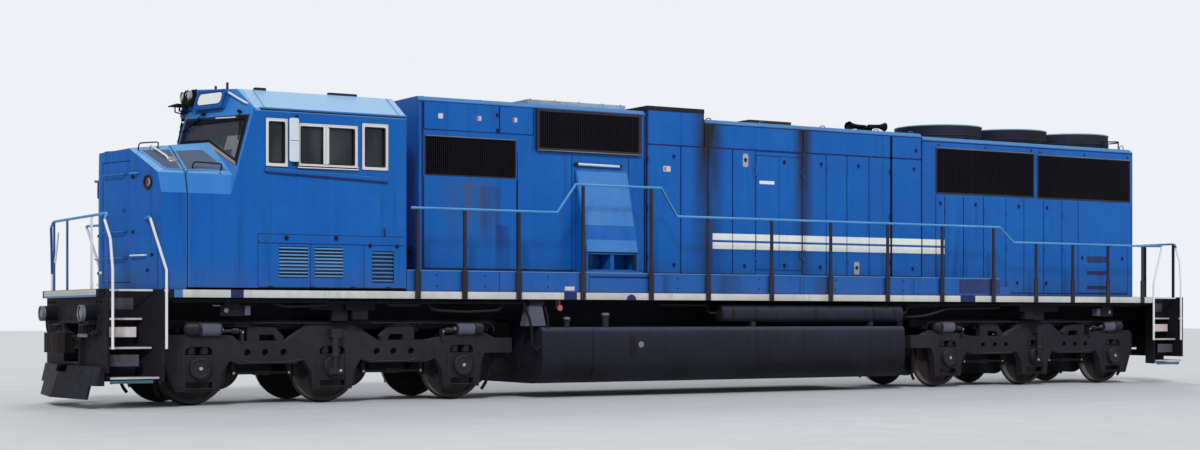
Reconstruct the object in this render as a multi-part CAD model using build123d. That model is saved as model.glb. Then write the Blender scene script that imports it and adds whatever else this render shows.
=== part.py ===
from build123d import *
import os

# Six-axle diesel-electric locomotive with a wide nose and an isolated cab.
# Millimetres. +Z up, front towards -X, left side towards -Y.
# Origin: middle of the length and width, at the lowest point of the wheel flanges.

# Running gear
flange_height = 25.0
tread_radius = 508.0
wheel_back_gap = 1355.0
wheel_width = 140.0
rim_depth = 65.0
web_thickness = 32.0
hub_radius = 150.0
hub_width = 178.0
axle_radius = 95.0
journal_radius = 75.0
journal_clearance = 0.5
axle_end = 1118.0
truck_centres = 13894.0
truck_wheelbase = 4140.0
middle_axle_shift = 48.0

# Lengths and heights, each height counted from the rail's top
coupler_face = 10846.0
coupler_height = 876.0
frame_end = 10460.0
frame_half_width = 1524.0
deck_top = 1620.0
deck_thickness = 115.0
well_inner = 9660.0
hood_half_width = 950.0
hood_roof = 4520.0
sheet = 50.0

# Nose and cab
cab_half_width = 1500.0
cab_base = 1650.0
cab_wall = 75.0
cab_rear_x = -6000.0
nose_ridge_x = -10115.0
nose_sweep = 0.279
nose_seam_x = -9345.0
nose_seam_gap = 25.0
nose_top_front = 3575.0
nose_top_rear = 3725.0
nose_flat_half = 730.0
shoulder_top = 3235.0
shoulder_low = 2955.0
shoulder_inset = 85.0
windshield_x = -8870.0
windshield_z = 4080.0
windshield_sweep = 0.324
windshield_rake = 0.279
cab_eave = 4190.0
roof_edge = 4500.0
roof_edge_half = 1000.0
roof_crown = 4570.0
cab_floor_top = 1950.0
cab_step_x = -8700.0
vestibule_floor = 40.0


def up(height):
    """Height above the rail as a Z coordinate."""
    return height + flange_height


axle_z = up(tread_radius)


def block(x0, x1, y0, y1, z0, z1):
    """Box between two corners, heights from the rail's top."""
    size = Box(x1 - x0, y1 - y0, z1 - z0)
    return Pos((x0 + x1) / 2, (y0 + y1) / 2, up((z0 + z1) / 2)) * size


def side_profile(points, y0, y1):
    """Outline in X and height, drawn out along Y."""
    face = make_face(Polyline([(x, y0, up(z)) for x, z in points], close=True))
    return extrude(face, amount=y1 - y0, dir=(0, 1, 0))


def cross_profile(points, x0, x1):
    """Outline in Y and height, drawn out along X."""
    face = make_face(Polyline([(x0, y, up(z)) for y, z in points], close=True))
    return extrude(face, amount=x1 - x0, dir=(1, 0, 0))


def plan_profile(points, z0, z1):
    """Outline in X and Y, drawn out upwards."""
    face = make_face(Polyline([(x, y, up(z0)) for x, y in points], close=True))
    return extrude(face, amount=z1 - z0, dir=(0, 0, 1))


def rod(start, end, radius):
    """Round bar between two points, heights from the rail's top."""
    a = Vector(start[0], start[1], up(start[2]))
    b = Vector(end[0], end[1], up(end[2]))
    plane = Plane(origin=a, z_dir=b - a)
    return plane * Pos(0, 0, (b - a).length / 2) * Cylinder(radius, (b - a).length)


def pipe(points, radius):
    """Bent tube: straight runs with a ball at every bend."""
    parts = [rod(a, b, radius) for a, b in zip(points, points[1:])]
    parts += [Pos(x, y, up(z)) * Sphere(radius) for x, y, z in points[1:-1]]
    return fuse_all(parts)


def fuse_all(parts):
    """One shape from several that touch or cross."""
    whole = parts[0]
    for piece in parts[1:]:
        whole = whole + piece
    return whole


def both_sides(shape):
    """The shape and its mirror image across the centre line."""
    return [shape, mirror(shape, about=Plane.XZ)]


def keep_beyond(shape, point, normal):
    """The part of a shape on the side of a plane that the normal points to."""
    return split(shape, bisect_by=Plane(origin=point, z_dir=normal), keep=Keep.TOP)


nodes = {}


def node(name, *shapes):
    """Files shapes under a node's name as loose solids."""
    solids = []
    for shape in shapes:
        solids += list(shape.solids())
    nodes[name] = solids


# Wheelsets
wheel_inner = wheel_back_gap / 2
wheel_outer = wheel_inner + wheel_width
flange_radius = tread_radius + flange_height
rim_inner = tread_radius - rim_depth
web_y = wheel_inner + wheel_width / 2
hub_y0 = web_y - hub_width / 2
hub_y1 = web_y + hub_width / 2
tread_start = wheel_inner + 33.0


def wheelset(x):
    """Axle and two flanged wheels in one forging, turned about Y."""
    # columns: radius, distance from the middle of the axle
    outline = [
        (axle_radius, hub_y0),
        (hub_radius, hub_y0),
        (hub_radius, web_y - web_thickness / 2),
        (rim_inner, web_y - web_thickness / 2),
        (rim_inner, wheel_inner),
        (flange_radius - 8, wheel_inner),
        (flange_radius, wheel_inner + 12),
        (flange_radius - 8, wheel_inner + 26),
        (tread_radius, tread_start),
        (tread_radius - 4, wheel_outer),
        (rim_inner, wheel_outer),
        (rim_inner, web_y + web_thickness / 2),
        (hub_radius, web_y + web_thickness / 2),
        (hub_radius, hub_y1),
        (journal_radius, hub_y1),
        (journal_radius, axle_end),
        (0, axle_end),
    ]
    right = [(r, y) for r, y in outline]
    left = [(r, -y) for r, y in reversed(outline)]
    face = make_face(Polyline([(r, y, 0) for r, y in left + right], close=True))
    return Pos(x, 0, axle_z) * revolve(face, axis=Axis.Y)


def axle_places(end):
    """X of a truck's three axles. end is -1 at the front, 1 at the rear."""
    centre = end * truck_centres / 2
    outer = centre + end * truck_wheelbase / 2
    inner = centre - end * truck_wheelbase / 2
    return outer, centre + end * middle_axle_shift, inner


# Trucks
frame_inner_y = 935.0
frame_outer_y = 1085.0
frame_low = 565.0
frame_waist = 895.0
frame_hump = 1136.0
arch_top = 815.0
leg_bottom = 185.0
leg_inner = 197.0
outer_overhang = 513.0
inner_overhang = 865.0
box_fit = 0.4
cap_radius = 145.0
cap_face = 1150.0
box_half_height = 190.0
spring_radius = 46.0
spring_offset = 98.0
pocket_chamfer = 50.0
tie_bar = 30.0
brake_radius = 85.0
brake_z = 1060.0
shoe_gap = 14.0
shoe_thickness = 40.0
shoe_y0 = 716.0
shoe_y1 = 806.0
hanger_offset = 590.0
hanger_half = 28.0
hanger_y0 = 805.0
hanger_y1 = 860.0
hanger_top = 700.0
brake_rod_z = 430.0
brake_rod_radius = 18.0
damper_radius = 38.0
damper_y = 1195.0
damper_low = 490.0
damper_top = 950.0
transom_half = 150.0
motor_half_width = 500.0
motor_radius = 345.0
motor_offset = 470.0
bolster_top = 1170.0


# lower edge of the side frame beside an axle, columns: distance from the axle, height
wave = ((600.0, frame_low), (340.0, 655.0), (leg_inner, 705.0))
# outer edges of the pedestal legs, columns: distance beyond the box's opening, height
leg_flare = ((273.0, 640.0), (233.0, 590.0), (133.0, 437.0), (108.0, leg_bottom))
leg_end = ((203.0, 700.0), (133.0, 560.0), (108.0, 400.0), (98.0, leg_bottom))
leg_slant = ((343.0, 700.0), (153.0, leg_bottom))
# bracket for the bolster's pad, columns: distance from its middle, height
pad_bracket = ((275.0, 880.0), (275.0, 1090.0), (105.0, 1100.0), (-145.0, 1085.0), (-275.0, 960.0), (-275.0, 880.0))
pad_window = ((95.0, 895.0), (95.0, 985.0), (-125.0, 985.0), (-165.0, 895.0))


def truck_side(end, y0, y1):
    """One side frame: waist, hump, a lower edge that arches over each axle, and the
    flared pedestal legs with their tie bars."""
    centre = end * truck_centres / 2
    outer_end = truck_wheelbase / 2 + outer_overhang
    inner_end = -truck_wheelbase / 2 - inner_overhang
    axles = (-truck_wheelbase / 2, middle_axle_shift, truck_wheelbase / 2)
    # columns: distance from the truck's centre towards the locomotive's end, height
    outline = [
        (outer_end, 690), (outer_end, 900), (outer_end - 53, 985), (truck_wheelbase / 2 - 300, 985),
        (truck_wheelbase / 2 - 480, 975), (1480, frame_waist), (760, frame_waist), (430, frame_hump),
        (-270, frame_hump), (-680, frame_waist), (-1490, frame_waist), (-truck_wheelbase / 2 + 200, 960),
        (-truck_wheelbase / 2 - 400, 1000), (-truck_wheelbase / 2 - 560, 920), (inner_end, 915), (inner_end, 690),
    ]
    for d in axles:
        before = [(d - away, height) for away, height in wave]
        after = [(d + away, height) for away, height in reversed(wave)]
        if d == axles[0]:
            before = [(d - leg_inner - 60, 690), before[-1]]
        if d == axles[-1]:
            after = [after[0], (d + leg_inner + 60, 690)]
        outline += before + after
    side = side_profile([(centre + end * d, z) for d, z in outline], y0, y1)
    for d in axles:
        for towards in (-1, 1):
            edge = leg_flare
            if d == axles[-1] and towards > 0:
                edge = leg_slant
            if d == axles[0] and towards < 0:
                edge = leg_end
            leg = [(leg_inner, leg_bottom), (leg_inner, 720)]
            leg += [(leg_inner + away, height) for away, height in edge]
            leg = [(centre + end * (d + towards * away), height) for away, height in leg]
            side = side + side_profile(leg, y0, y1)
        pocket = [
            (-leg_inner, leg_bottom - 1), (-leg_inner, arch_top - pocket_chamfer),
            (-leg_inner + pocket_chamfer, arch_top), (leg_inner - pocket_chamfer, arch_top),
            (leg_inner, arch_top - pocket_chamfer), (leg_inner, leg_bottom - 1),
        ]
        x = centre + end * d
        side = side - side_profile([(x + dx, z) for dx, z in pocket], y0 - 1, y1 + 1)
        side = side + block(x - leg_inner - 5, x + leg_inner + 5, y0 + 30, y1 - 30, leg_bottom, leg_bottom + tie_bar)
    for middle, flip in ((1075, 1), (-1005, -1)):
        bracket = [(centre + end * (middle + flip * d), z) for d, z in pad_bracket]
        window = [(centre + end * (middle + flip * d), z) for d, z in pad_window]
        bracket = side_profile(bracket, y0 + 20, y1 - 20) - side_profile(window, y0, y1)
        side = side + bracket
    # lightening holes in the low webs, columns: distance from the truck's centre
    for d in (1351, 1086, 805, -661, -934, -1221):
        side = side - rod((centre + end * d, y0 - 1, 727), (centre + end * d, y1 + 1, 727), 52)
    return side


def brake_rigging(end):
    """Shoes beside the left treads on hangers from the side frame, with a pull rod
    between each two hangers."""
    axles = axle_places(end)
    inside = tread_radius + shoe_gap
    parts = []
    for first, second in zip(axles, axles[1:]):
        hanger_x = []
        for axle_x, other_x in ((first, second), (second, first)):
            away = 1 if other_x > axle_x else -1
            shoe = rod((axle_x, -shoe_y1, tread_radius), (axle_x, -shoe_y0, tread_radius), inside + shoe_thickness)
            shoe = shoe - rod((axle_x, -shoe_y1 - 5, tread_radius), (axle_x, -shoe_y0 + 5, tread_radius), inside)
            x0, x1 = sorted((axle_x + away * 400, axle_x + away * 600))
            shoe = shoe & block(x0, x1, -shoe_y1 - 1, -shoe_y0 + 1, tread_radius - 150, tread_radius + 150)
            x = axle_x + away * hanger_offset
            hanger_x.append(x)
            x0, x1 = sorted((axle_x + away * (inside + shoe_thickness - 12), x + away * hanger_half))
            shoe = shoe + block(x0, x1, -hanger_y1, -shoe_y1 + 50, tread_radius - 30, tread_radius + 30)
            x0, x1 = x - hanger_half, x + hanger_half
            shoe = shoe + block(x0, x1, -hanger_y1, -hanger_y0, brake_rod_z - 30, hanger_top)
            parts.append(shoe + block(x0, x1, -frame_inner_y - 1, -hanger_y0, hanger_top - 60, hanger_top))
        y = -(hanger_y0 + hanger_y1) / 2
        parts.append(rod((hanger_x[0], y, brake_rod_z), (hanger_x[1], y, brake_rod_z), brake_rod_radius))
    return parts


def domed_cylinder(x_closed, x_open, radius):
    """Cylinder along X with one domed end, turned about its axis."""
    towards = 1 if x_open > x_closed else -1
    shoulder = x_closed + towards * radius * 0.6
    dome = ThreePointArc((x_closed, 0), (x_closed + towards * radius * 0.18, radius * 0.71), (shoulder, radius))
    rest = Polyline((shoulder, radius), (x_open, radius), (x_open, 0), (x_closed, 0))
    return revolve(make_face([dome, rest]), axis=Axis.X)


def brake_cylinders(end):
    """Cylinders on top of the left side frame, each with its dome, foot, push rod and lug."""
    centre = end * truck_centres / 2
    half_base = truck_wheelbase / 2
    y = -frame_outer_y - 15
    parts = []
    # columns: distance from the truck's centre to the closed end, to the open end, to the rod's end
    for d0, d1, rod_end in ((half_base + 226, half_base - 313, half_base - 630),
                            (-half_base - 366, -half_base + 113, -half_base + 330)):
        body = domed_cylinder(centre + end * d0, centre + end * d1, brake_radius)
        parts.append(Pos(0, y, up(brake_z)) * body)
        parts.append(rod((centre + end * d1, y, brake_z - 25), (centre + end * rod_end, y, brake_z - 25), 22))
        foot_x = centre + end * (d0 + d1) / 2
        parts.append(block(foot_x - 90, foot_x + 90, y, y + 60, 930, 1040))
        lug_x = centre + end * rod_end
        parts.append(block(lug_x - 20, lug_x + 20, y - 20, y + 80, 870, brake_z))
    return parts


def damper(end):
    """Upright damper in front of the middle axle's box, hung from the left hump."""
    x = end * truck_centres / 2 + end * middle_axle_shift
    body = rod((x, -damper_y, damper_low + box_fit), (x, -damper_y, damper_top), damper_radius)
    body = body + rod((x, -damper_y, damper_low + 170), (x, -damper_y, damper_top), damper_radius + 12)
    bracket = block(x - 75, x + 75, -damper_y - 45, -frame_outer_y + 1, damper_top - 10, damper_top + 115)
    return body + bracket


def truck_frame(end):
    """Two like halves of side frame and brake gear, cross transoms and the bolster on its pads."""
    centre = end * truck_centres / 2
    half = [truck_side(end, -frame_outer_y, -frame_inner_y)] + brake_rigging(end) + brake_cylinders(end)
    half = fuse_all(half + [damper(end)])
    parts = both_sides(half)
    # columns: distance of a transom from the truck's centre, its half width, low, high
    transoms = [
        (truck_wheelbase / 2 + outer_overhang - 45, 45, 855, 980),
        (1060, transom_half, 640, 890),
        (-1010, transom_half, 640, 890),
        (-truck_wheelbase / 2 - inner_overhang + 45, 45, 705, 845),
    ]
    for d, half_length, low, high in transoms:
        x = centre + end * d
        parts.append(block(x - half_length, x + half_length, -frame_inner_y, frame_inner_y, low, high))
    for d in (1060, -1010):
        x = centre + end * d
        parts.append(block(x - 130, x + 130, -800, 800, 890, 1100))
    beam = sorted((centre + end * 1060, centre - end * 1010))
    parts.append(block(beam[0], beam[1], -330, 330, 960, 1120))
    parts.append(rod((centre, 0, 1100), (centre, 0, bolster_top), 380))
    return fuse_all(parts)


def axle_boxes(end):
    """A bearing box with its cap and two springs at each axle end."""
    boxes = []
    half = leg_inner - box_fit
    low = tread_radius - box_half_height
    high = tread_radius + box_half_height
    for x in axle_places(end):
        for side in (-1, 1):
            y0, y1 = sorted((side * frame_inner_y, side * frame_outer_y))
            body = block(x - half, x + half, y0, y1, low, high)
            face = side * cap_face
            body = body + rod((x, side * frame_inner_y, tread_radius), (x, face, tread_radius), cap_radius)
            for dx in (-spring_offset, spring_offset):
                y = side * (frame_inner_y + frame_outer_y) / 2
                body = body + rod((x + dx, y, high - 5), (x + dx, y, arch_top - box_fit), spring_radius)
            bore = journal_radius + journal_clearance
            end_gap = side * (axle_end + journal_clearance)
            start = side * (frame_inner_y - 5)
            if x == axle_places(end)[1]:
                y0, y1 = sorted((side * (cap_face - 30), side * (damper_y + 40)))
                body = body + block(x - 110, x + 110, y0, y1, damper_low - 85, damper_low)
            body = body - rod((x, start, tread_radius), (x, end_gap, tread_radius), bore)
            boxes.append(body)
    return boxes


def traction_motors(end):
    """Nose-hung motors beside the axles, each carried on its axle's suspension tube."""
    motors = []
    for x in axle_places(end):
        direction = -end
        mx = x + direction * motor_offset
        body = rod((mx, -motor_half_width, tread_radius + 20), (mx, motor_half_width, tread_radius + 20),
                   motor_radius)
        body = body + rod((x, -motor_half_width, tread_radius), (x, motor_half_width, tread_radius),
                          axle_radius + 60)
        nose = sorted((mx, mx + direction * (motor_radius + 40)))
        body = body + block(nose[0], nose[1], -180, 180, tread_radius - 60, tread_radius + 80)
        bore = axle_radius + journal_clearance
        body = body - rod((x, -motor_half_width - 5, tread_radius), (x, motor_half_width + 5, tread_radius), bore)
        motors.append(body)
    return motors


# Underframe
sill_low = deck_top - deck_thickness
centre_sill_low = 1200.0
centre_sill_half = 550.0
cab_mounts = (-8900.0, -6500.0)


def underframe():
    """Deck, side sills, twin centre sills, bolsters and the brackets over the trucks."""
    end = frame_end - 40
    parts = [block(-end, end, -frame_half_width, frame_half_width, sill_low, deck_top)]
    for y0, y1 in ((-centre_sill_half, -350), (350, centre_sill_half)):
        parts.append(block(-end + 60, end - 60, y0, y1, centre_sill_low, sill_low))
    for centre in (-truck_centres / 2, truck_centres / 2):
        parts.append(block(centre - 480, centre + 480, -1250, 1250, 1340, sill_low))
        parts.append(rod((centre, 0, bolster_top + 0.3), (centre, 0, 1350), 420))
        for side in (-1, 1):
            y0, y1 = sorted((side * 1130, side * 1250))
            parts.append(block(centre - 120, centre + 120, y0, y1, 1180, 1345))
    for x in cab_mounts:
        for y in (-1100, 1100):
            parts.append(block(x - 150, x + 150, y - 150, y + 150, deck_top - 10, cab_base))
    parts.append(block(-3500, 3500, -centre_sill_half, centre_sill_half, tank_top, centre_sill_low + 10))
    # boxes under the sills, columns: distance from the middle to each side of it, low, high
    for d0, d1, low, high in ((8785, 8448, 1250, 1405), (6878, 6416, 1340, 1486), (6770, 6530, 1200, 1341)):
        for end_side in (-1, 1):
            x0, x1 = sorted((end_side * d0, end_side * d1))
            for side in (-1, 1):
                y0, y1 = sorted((side * (frame_half_width - 334), side * (frame_half_width - 214)))
                parts.append(block(x0, x1, y0, y1, low, high))
                if low == 1250 or high == 1486:
                    parts.append(block(x0 + 60, x1 - 60, y0, y1, high - 1, sill_low + 1))
    whole = fuse_all(parts)
    # the slanting step wells cut the deck's corners
    edge = frame_half_width - step_depth - plate
    beyond = frame_half_width + 10
    corner = [(well_x(beyond), beyond), (well_x(edge), edge), (frame_end + 1, edge), (frame_end + 1, beyond)]
    for end in (-1, 1):
        for side in (-1, 1):
            whole = whole - plan_profile([(end * x, side * y) for x, y in corner], 1000, deck_top + 1)
    return whole


# Fuel tank, with air reservoirs above it
tank_front = -3700.0
tank_rear = 3530.0
tank_half_width = 1490.0
tank_low = 205.0
tank_top = 1080.0
reservoir_radius = 145.0
reservoir_z = 1303.0


# band round the tank: front x, rear x, thickness
tank_band = (-2775.0, -2573.0, 12.0)
# filler necks of one side, columns: x, distance from the middle, low, high, radius
tank_necks = ((-2490.0, 1370.0, 1050.0, 1270.0, 55.0), (-3207.0, 1400.0, 960.0, 1205.0, 42.0))


def tank_section(x0, x1, proud):
    """Length of the tank's rounded section, made wider by a band's thickness."""
    half = tank_half_width + proud
    body = block(x0, x1, -half, half, tank_low, tank_top)
    low_edges = body.edges().filter_by(Axis.X).group_by(Axis.Z)[0]
    body = fillet(low_edges, 330)
    top_edges = body.edges().filter_by(Axis.X).group_by(Axis.Z)[-1]
    return fillet(top_edges, 90)


def fuel_tank():
    """Rounded tank slung between the trucks, with a raised band and two filler necks a side."""
    body = tank_section(tank_front, tank_rear, 0)
    body = body + tank_section(tank_band[0], tank_band[1], tank_band[2])
    for side in (-1, 1):
        for x, y, low, high, radius in tank_necks:
            body = body + rod((x, side * y, low), (x, side * y, high), radius)
            body = body + rod((x, side * y, high - 30), (x, side * y, high), radius + 12)
    return body


def air_reservoirs():
    """A long air reservoir on each side above the tank, on two saddles."""
    vessels = []
    for side in (-1, 1):
        y = side * (frame_half_width - 234)
        vessel = rod((-250, y, reservoir_z), (3540, y, reservoir_z), reservoir_radius)
        for x in (400, 2900):
            y0, y1 = sorted((y - 60, y + 60))
            vessel = vessel + block(x - 40, x + 40, y0, y1, tank_top, reservoir_z)
        vessels.append(vessel)
    return vessels


# Pilots, steps and plow
step_heights = (1227.0, 830.0, 420.0)
# how far the edge of each tread lies behind the sill's face
step_stagger = (294.0, 144.0, 24.0)
step_depth = 440.0
step_slant = 260.0
plate = 20.0
tread_thickness = 35.0
plow_half_width = frame_half_width - 94.0
plow_top = 560.0
plow_low = 110.0


def well_x(y):
    """Distance along X of a step well's slanting back wall at a distance from the middle."""
    return well_inner + (frame_half_width - y) / step_depth * step_slant


def pilot(end):
    """End plate with the coupler's opening, the anticlimber and four step wells."""
    face = end * frame_end
    inner = end * (frame_end - 40)
    x0, x1 = sorted((face, inner))
    plate_body = block(x0, x1, -frame_half_width, frame_half_width, 480, deck_top)
    striker = sorted((inner, face + end * 60))
    plate_body = plate_body + block(striker[0], striker[1], -440, 440, plow_top + 10, 1200)
    plate_body = plate_body - block(striker[0] - 1, striker[1] + 1, -380, 380, 600, 1150)
    rib = sorted((face, face + end * 90))
    plate_body = plate_body + block(rib[0], rib[1], -frame_half_width + 104, frame_half_width - 104,
                                    deck_top - 105, deck_top)
    pocket = sorted((inner, inner - end * 560))
    for y0, y1 in ((-420, -380), (380, 420)):
        plate_body = plate_body + block(pocket[0], pocket[1], y0, y1, 640, centre_sill_low)
    plate_body = plate_body + block(pocket[0], pocket[1], -380, 380, 1150, 1200)
    wall = plate * 1.16
    inner_y = frame_half_width - step_depth
    for side in (-1, 1):
        back = [
            (well_x(frame_half_width), frame_half_width), (well_x(frame_half_width) + wall, frame_half_width),
            (well_x(inner_y - plate) + wall, inner_y - plate), (well_x(inner_y - plate), inner_y - plate),
        ]
        plate_body = plate_body + plan_profile([(end * x, side * y) for x, y in back], 350, deck_top)
        x0, x1 = sorted((inner, end * well_x(inner_y - plate)))
        y0, y1 = sorted((side * inner_y, side * (inner_y - plate)))
        plate_body = plate_body + block(x0, x1, y0, y1, 350, deck_top)
        for height, stagger in zip(step_heights, step_stagger):
            edge = frame_half_width - stagger
            tread = [
                (frame_end - 40, edge), (well_x(edge) + wall - 5, edge),
                (well_x(inner_y) + wall - 5, inner_y), (frame_end - 40, inner_y),
            ]
            tread = [(end * x, side * y) for x, y in tread]
            plate_body = plate_body + plan_profile(tread, height - tread_thickness, height)
    return plate_body


def plow_form(low, high, inset):
    """V-shaped block whose face leans forward downwards, between two heights."""
    faces = []
    for z in (low, high):
        lean = (plow_top - z) / (plow_top - plow_low)
        tip = -frame_end - 210 - 150 * lean + inset
        wing = -frame_end - 50 - 100 * lean + inset
        half = plow_half_width - inset * 0.6
        outline = [(-frame_end + inset, -half), (wing, -half), (tip, 0), (wing, half), (-frame_end + inset, half)]
        faces.append(make_face(Polyline([(x, y, up(z)) for x, y in outline], close=True)))
    return loft(faces, ruled=True)


def snow_plow():
    """V-shaped plow under the front coupler, hollow behind, with raised outer corners."""
    body = plow_form(plow_low, plow_top, 0) - plow_form(plow_low - 40, plow_top - 35, 35)
    body = body - block(-frame_end - 400, -frame_end + 1, -260, 260, 470, 600)
    for side in (-1, 1):
        y0, y1 = sorted((side * (plow_half_width - 260), side * (plow_half_width + 10)))
        body = body - block(-frame_end - 400, -frame_end + 1, y0, y1, 0, 300)
        y0, y1 = sorted((side * 460, side * 484))
        rib = block(-frame_end - 300, -frame_end, y0, y1, plow_low + 60, plow_top - 10)
        body = body + (rib & plow_form(plow_low, plow_top, 5))
    return body


# Couplers
knuckle_height = 280.0
coupler_pin = 10080.0
coupler_pin_radius = 40.0


def coupler(end):
    """Automatic coupler: shank, head with its guard arm, and the closed knuckle."""
    # columns: distance from the pulling face towards the pin, offset to the side
    head = [
        (330, 70), (250, 110), (200, 190), (90, 215), (-10, 240), (-30, 200),
        (60, 150), (110, 60), (110, -10), (30, -30), (0, -60), (0, -120),
        (60, -170), (160, -175), (250, -110), (330, -70),
    ]
    tip = end * (coupler_face - 30)
    outline = [(tip - end * d, -end * s) for d, s in head]
    z0 = coupler_height - knuckle_height / 2
    body = plan_profile(outline, z0, z0 + knuckle_height)
    shank = sorted((tip - end * 300, end * (coupler_pin - 110)))
    body = body + block(shank[0], shank[1], -65, 65, coupler_height - 80, coupler_height + 80)
    pin_x = end * coupler_pin
    bore = coupler_pin_radius + journal_clearance
    return body - rod((pin_x, 0, coupler_height - 90), (pin_x, 0, coupler_height + 90), bore)


def coupler_carrier(end):
    """Pin that holds the coupler's shank in its pocket."""
    return rod((end * coupler_pin, 0, coupler_height - 180), (end * coupler_pin, 0, 1150), coupler_pin_radius)


# Raised walkways beside the hood
walk_top = 1930.0
walk_front = -5990.0
walk_rear = 5740.0
walk_half_width = frame_half_width - 24.0


def walkways():
    """Box-shaped ducts along the hood, which carry the walkways on their tops."""
    left = block(walk_front, walk_rear, -walk_half_width, -hood_half_width - 0.3, deck_top, walk_top)
    step = block(walk_rear, walk_rear + 260, -walk_half_width, -hood_half_width - 0.3,
                 deck_top, (deck_top + walk_top) / 2)
    return both_sides(left + step)


# Nose and cab shells
def nose_outline(x, inset, base):
    """Cross-section of the nose: vertical sides, leaning shoulders and bevelled top."""
    share = (x - nose_ridge_x) / (windshield_x - nose_ridge_x)
    top = nose_top_front + (nose_top_rear - nose_top_front) * share - inset
    flat = nose_flat_half - inset * 0.3
    return [
        (-cab_half_width + inset, base),
        (-cab_half_width + inset, shoulder_low - inset * 0.2),
        (-cab_half_width + shoulder_inset + inset, shoulder_top - inset * 0.7),
        (-flat, top),
        (flat, top),
        (cab_half_width - shoulder_inset - inset, shoulder_top - inset * 0.7),
        (cab_half_width - inset, shoulder_low - inset * 0.2),
        (cab_half_width - inset, base),
    ]


def nose_loft(x0, x1, inset, base):
    """Nose form between two stations."""
    faces = []
    for x in (x0, x1):
        points = [(x, y, up(z)) for y, z in nose_outline(x, inset, base)]
        faces.append(make_face(Polyline(points, close=True)))
    return loft(faces, ruled=True)


def prow(shape, inset):
    """Cuts the nose's two front facets, which meet in a ridge on the centre line."""
    point = (nose_ridge_x + inset, 0, 0)
    shape = keep_beyond(shape, point, (1, nose_sweep, 0))
    return keep_beyond(shape, point, (1, -nose_sweep, 0))


def behind_windshield(shape, inset):
    """Cuts the cab's two raked front facets."""
    point = (windshield_x + inset, 0, up(windshield_z))
    shape = keep_beyond(shape, point, (1, windshield_sweep, -windshield_rake))
    return keep_beyond(shape, point, (1, -windshield_sweep, -windshield_rake))


def cab_section(inset):
    """Cross-section of the cab with its sloping roof edges."""
    half = cab_half_width - inset
    return [
        (-half, cab_base), (-half, cab_eave - inset * 0.5), (-roof_edge_half + inset * 0.3, roof_edge - inset),
        (0, roof_crown - inset), (roof_edge_half - inset * 0.3, roof_edge - inset),
        (half, cab_eave - inset * 0.5), (half, cab_base),
    ]


# windows of a cab side, columns: front x, rear x, sill, top
side_windows = [
    (-8145.0, -7900.0, 3420.0, 4010.0),
    (-7665.0, -6825.0, 3430.0, 3965.0),
    (-6670.0, -6340.0, 3425.0, 4005.0),
]
# corners of one windshield, columns: distance from the centre line, height
windshield_outline = [(110.0, 4050.0), (1370.0, 4050.0), (1390.0, 3440.0), (700.0, 3770.0), (110.0, 3790.0)]

# nose door in the left facet, columns of edges measured along Y
nose_door_y0 = -760.0
nose_door_y1 = -80.0
nose_door_low = 1720.0
nose_door_top = 3430.0
nose_wall = 60.0
leaf_back = 52.0
door_gap = 10.0
hinge_barrel = 12.0
hinge_pin = 7.0
hinge_length = 90.0
hinge_strap = 60.0
hinge_stand = 14.0
rear_door_y0 = -1415.0
rear_door_y1 = -985.0
rear_door_low = 1960.0
rear_door_top = 3900.0


def hinges(x, y, along, towards, heights, leaf_depth, wall_depth):
    """Butt hinges on an upright axis: the leaf's barrels with their straps, and the
    wall's pins with their lugs. along points over the leaf, towards points to the faces."""
    turn = 1 if along[0] * towards[1] - along[1] * towards[0] > 0 else -1
    on_leaf = []
    on_wall = []
    for z in heights:
        place = Plane(origin=(x, y, up(z)), x_dir=(along[0], along[1], 0), z_dir=(0, 0, turn))
        barrel = Cylinder(hinge_barrel, hinge_length)
        strap = Box(hinge_strap - 6, leaf_depth - 4, hinge_length)
        strap = Pos(hinge_strap / 2 + 3, leaf_depth / 2 + 2, 0) * strap
        bore = Cylinder(hinge_pin + journal_clearance, hinge_length + 2)
        on_leaf.append(place * (barrel + strap - bore))
        pin = Cylinder(hinge_pin, hinge_length * 2)
        for level in (-1, 1):
            offset = level * (hinge_length * 0.75 + 0.5)
            pin = pin + Pos(0, 0, offset) * Cylinder(hinge_barrel, hinge_length / 2)
            lug = Box(hinge_strap - 6, wall_depth - 4, hinge_length / 2)
            pin = pin + Pos(-hinge_strap / 2 - 3, wall_depth / 2 + 2, offset) * lug
        on_wall.append(place * pin)
    return fuse_all(on_leaf), fuse_all(on_wall)


def facet_x(y):
    """X of the nose's front facet at a distance from the centre line."""
    return nose_ridge_x + nose_sweep * abs(y)


def facet_slab(y0, y1, z0, z1, front, back):
    """Slab in the left facet of the nose between two depths behind its face, with its
    edges square to the facet."""
    length = (1 + nose_sweep ** 2) ** 0.5
    corners = ((y0, front), (y1, front), (y1, back), (y0, back))
    outline = [(facet_x(y) + depth / length, y + depth * nose_sweep / length) for y, depth in corners]
    return plan_profile(outline, z0, z1)


def nose():
    """Hollow nose in front of the seam, with its doorway."""
    x1 = nose_seam_x
    outer = prow(nose_loft(nose_ridge_x - 60, x1, 0, deck_top), 0)
    inner = prow(nose_loft(nose_ridge_x - 60, x1 + 10, nose_wall, deck_top), nose_wall)
    inner = inner & block(nose_ridge_x - 85, x1 + 20, -cab_half_width, cab_half_width,
                          cab_base + vestibule_floor, 4000)
    shell = outer - inner
    doorway = facet_slab(nose_door_y0, nose_door_y1, nose_door_low, nose_door_top, -20, nose_wall + 60)
    return shell - doorway + nose_hinge()[1]


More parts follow.
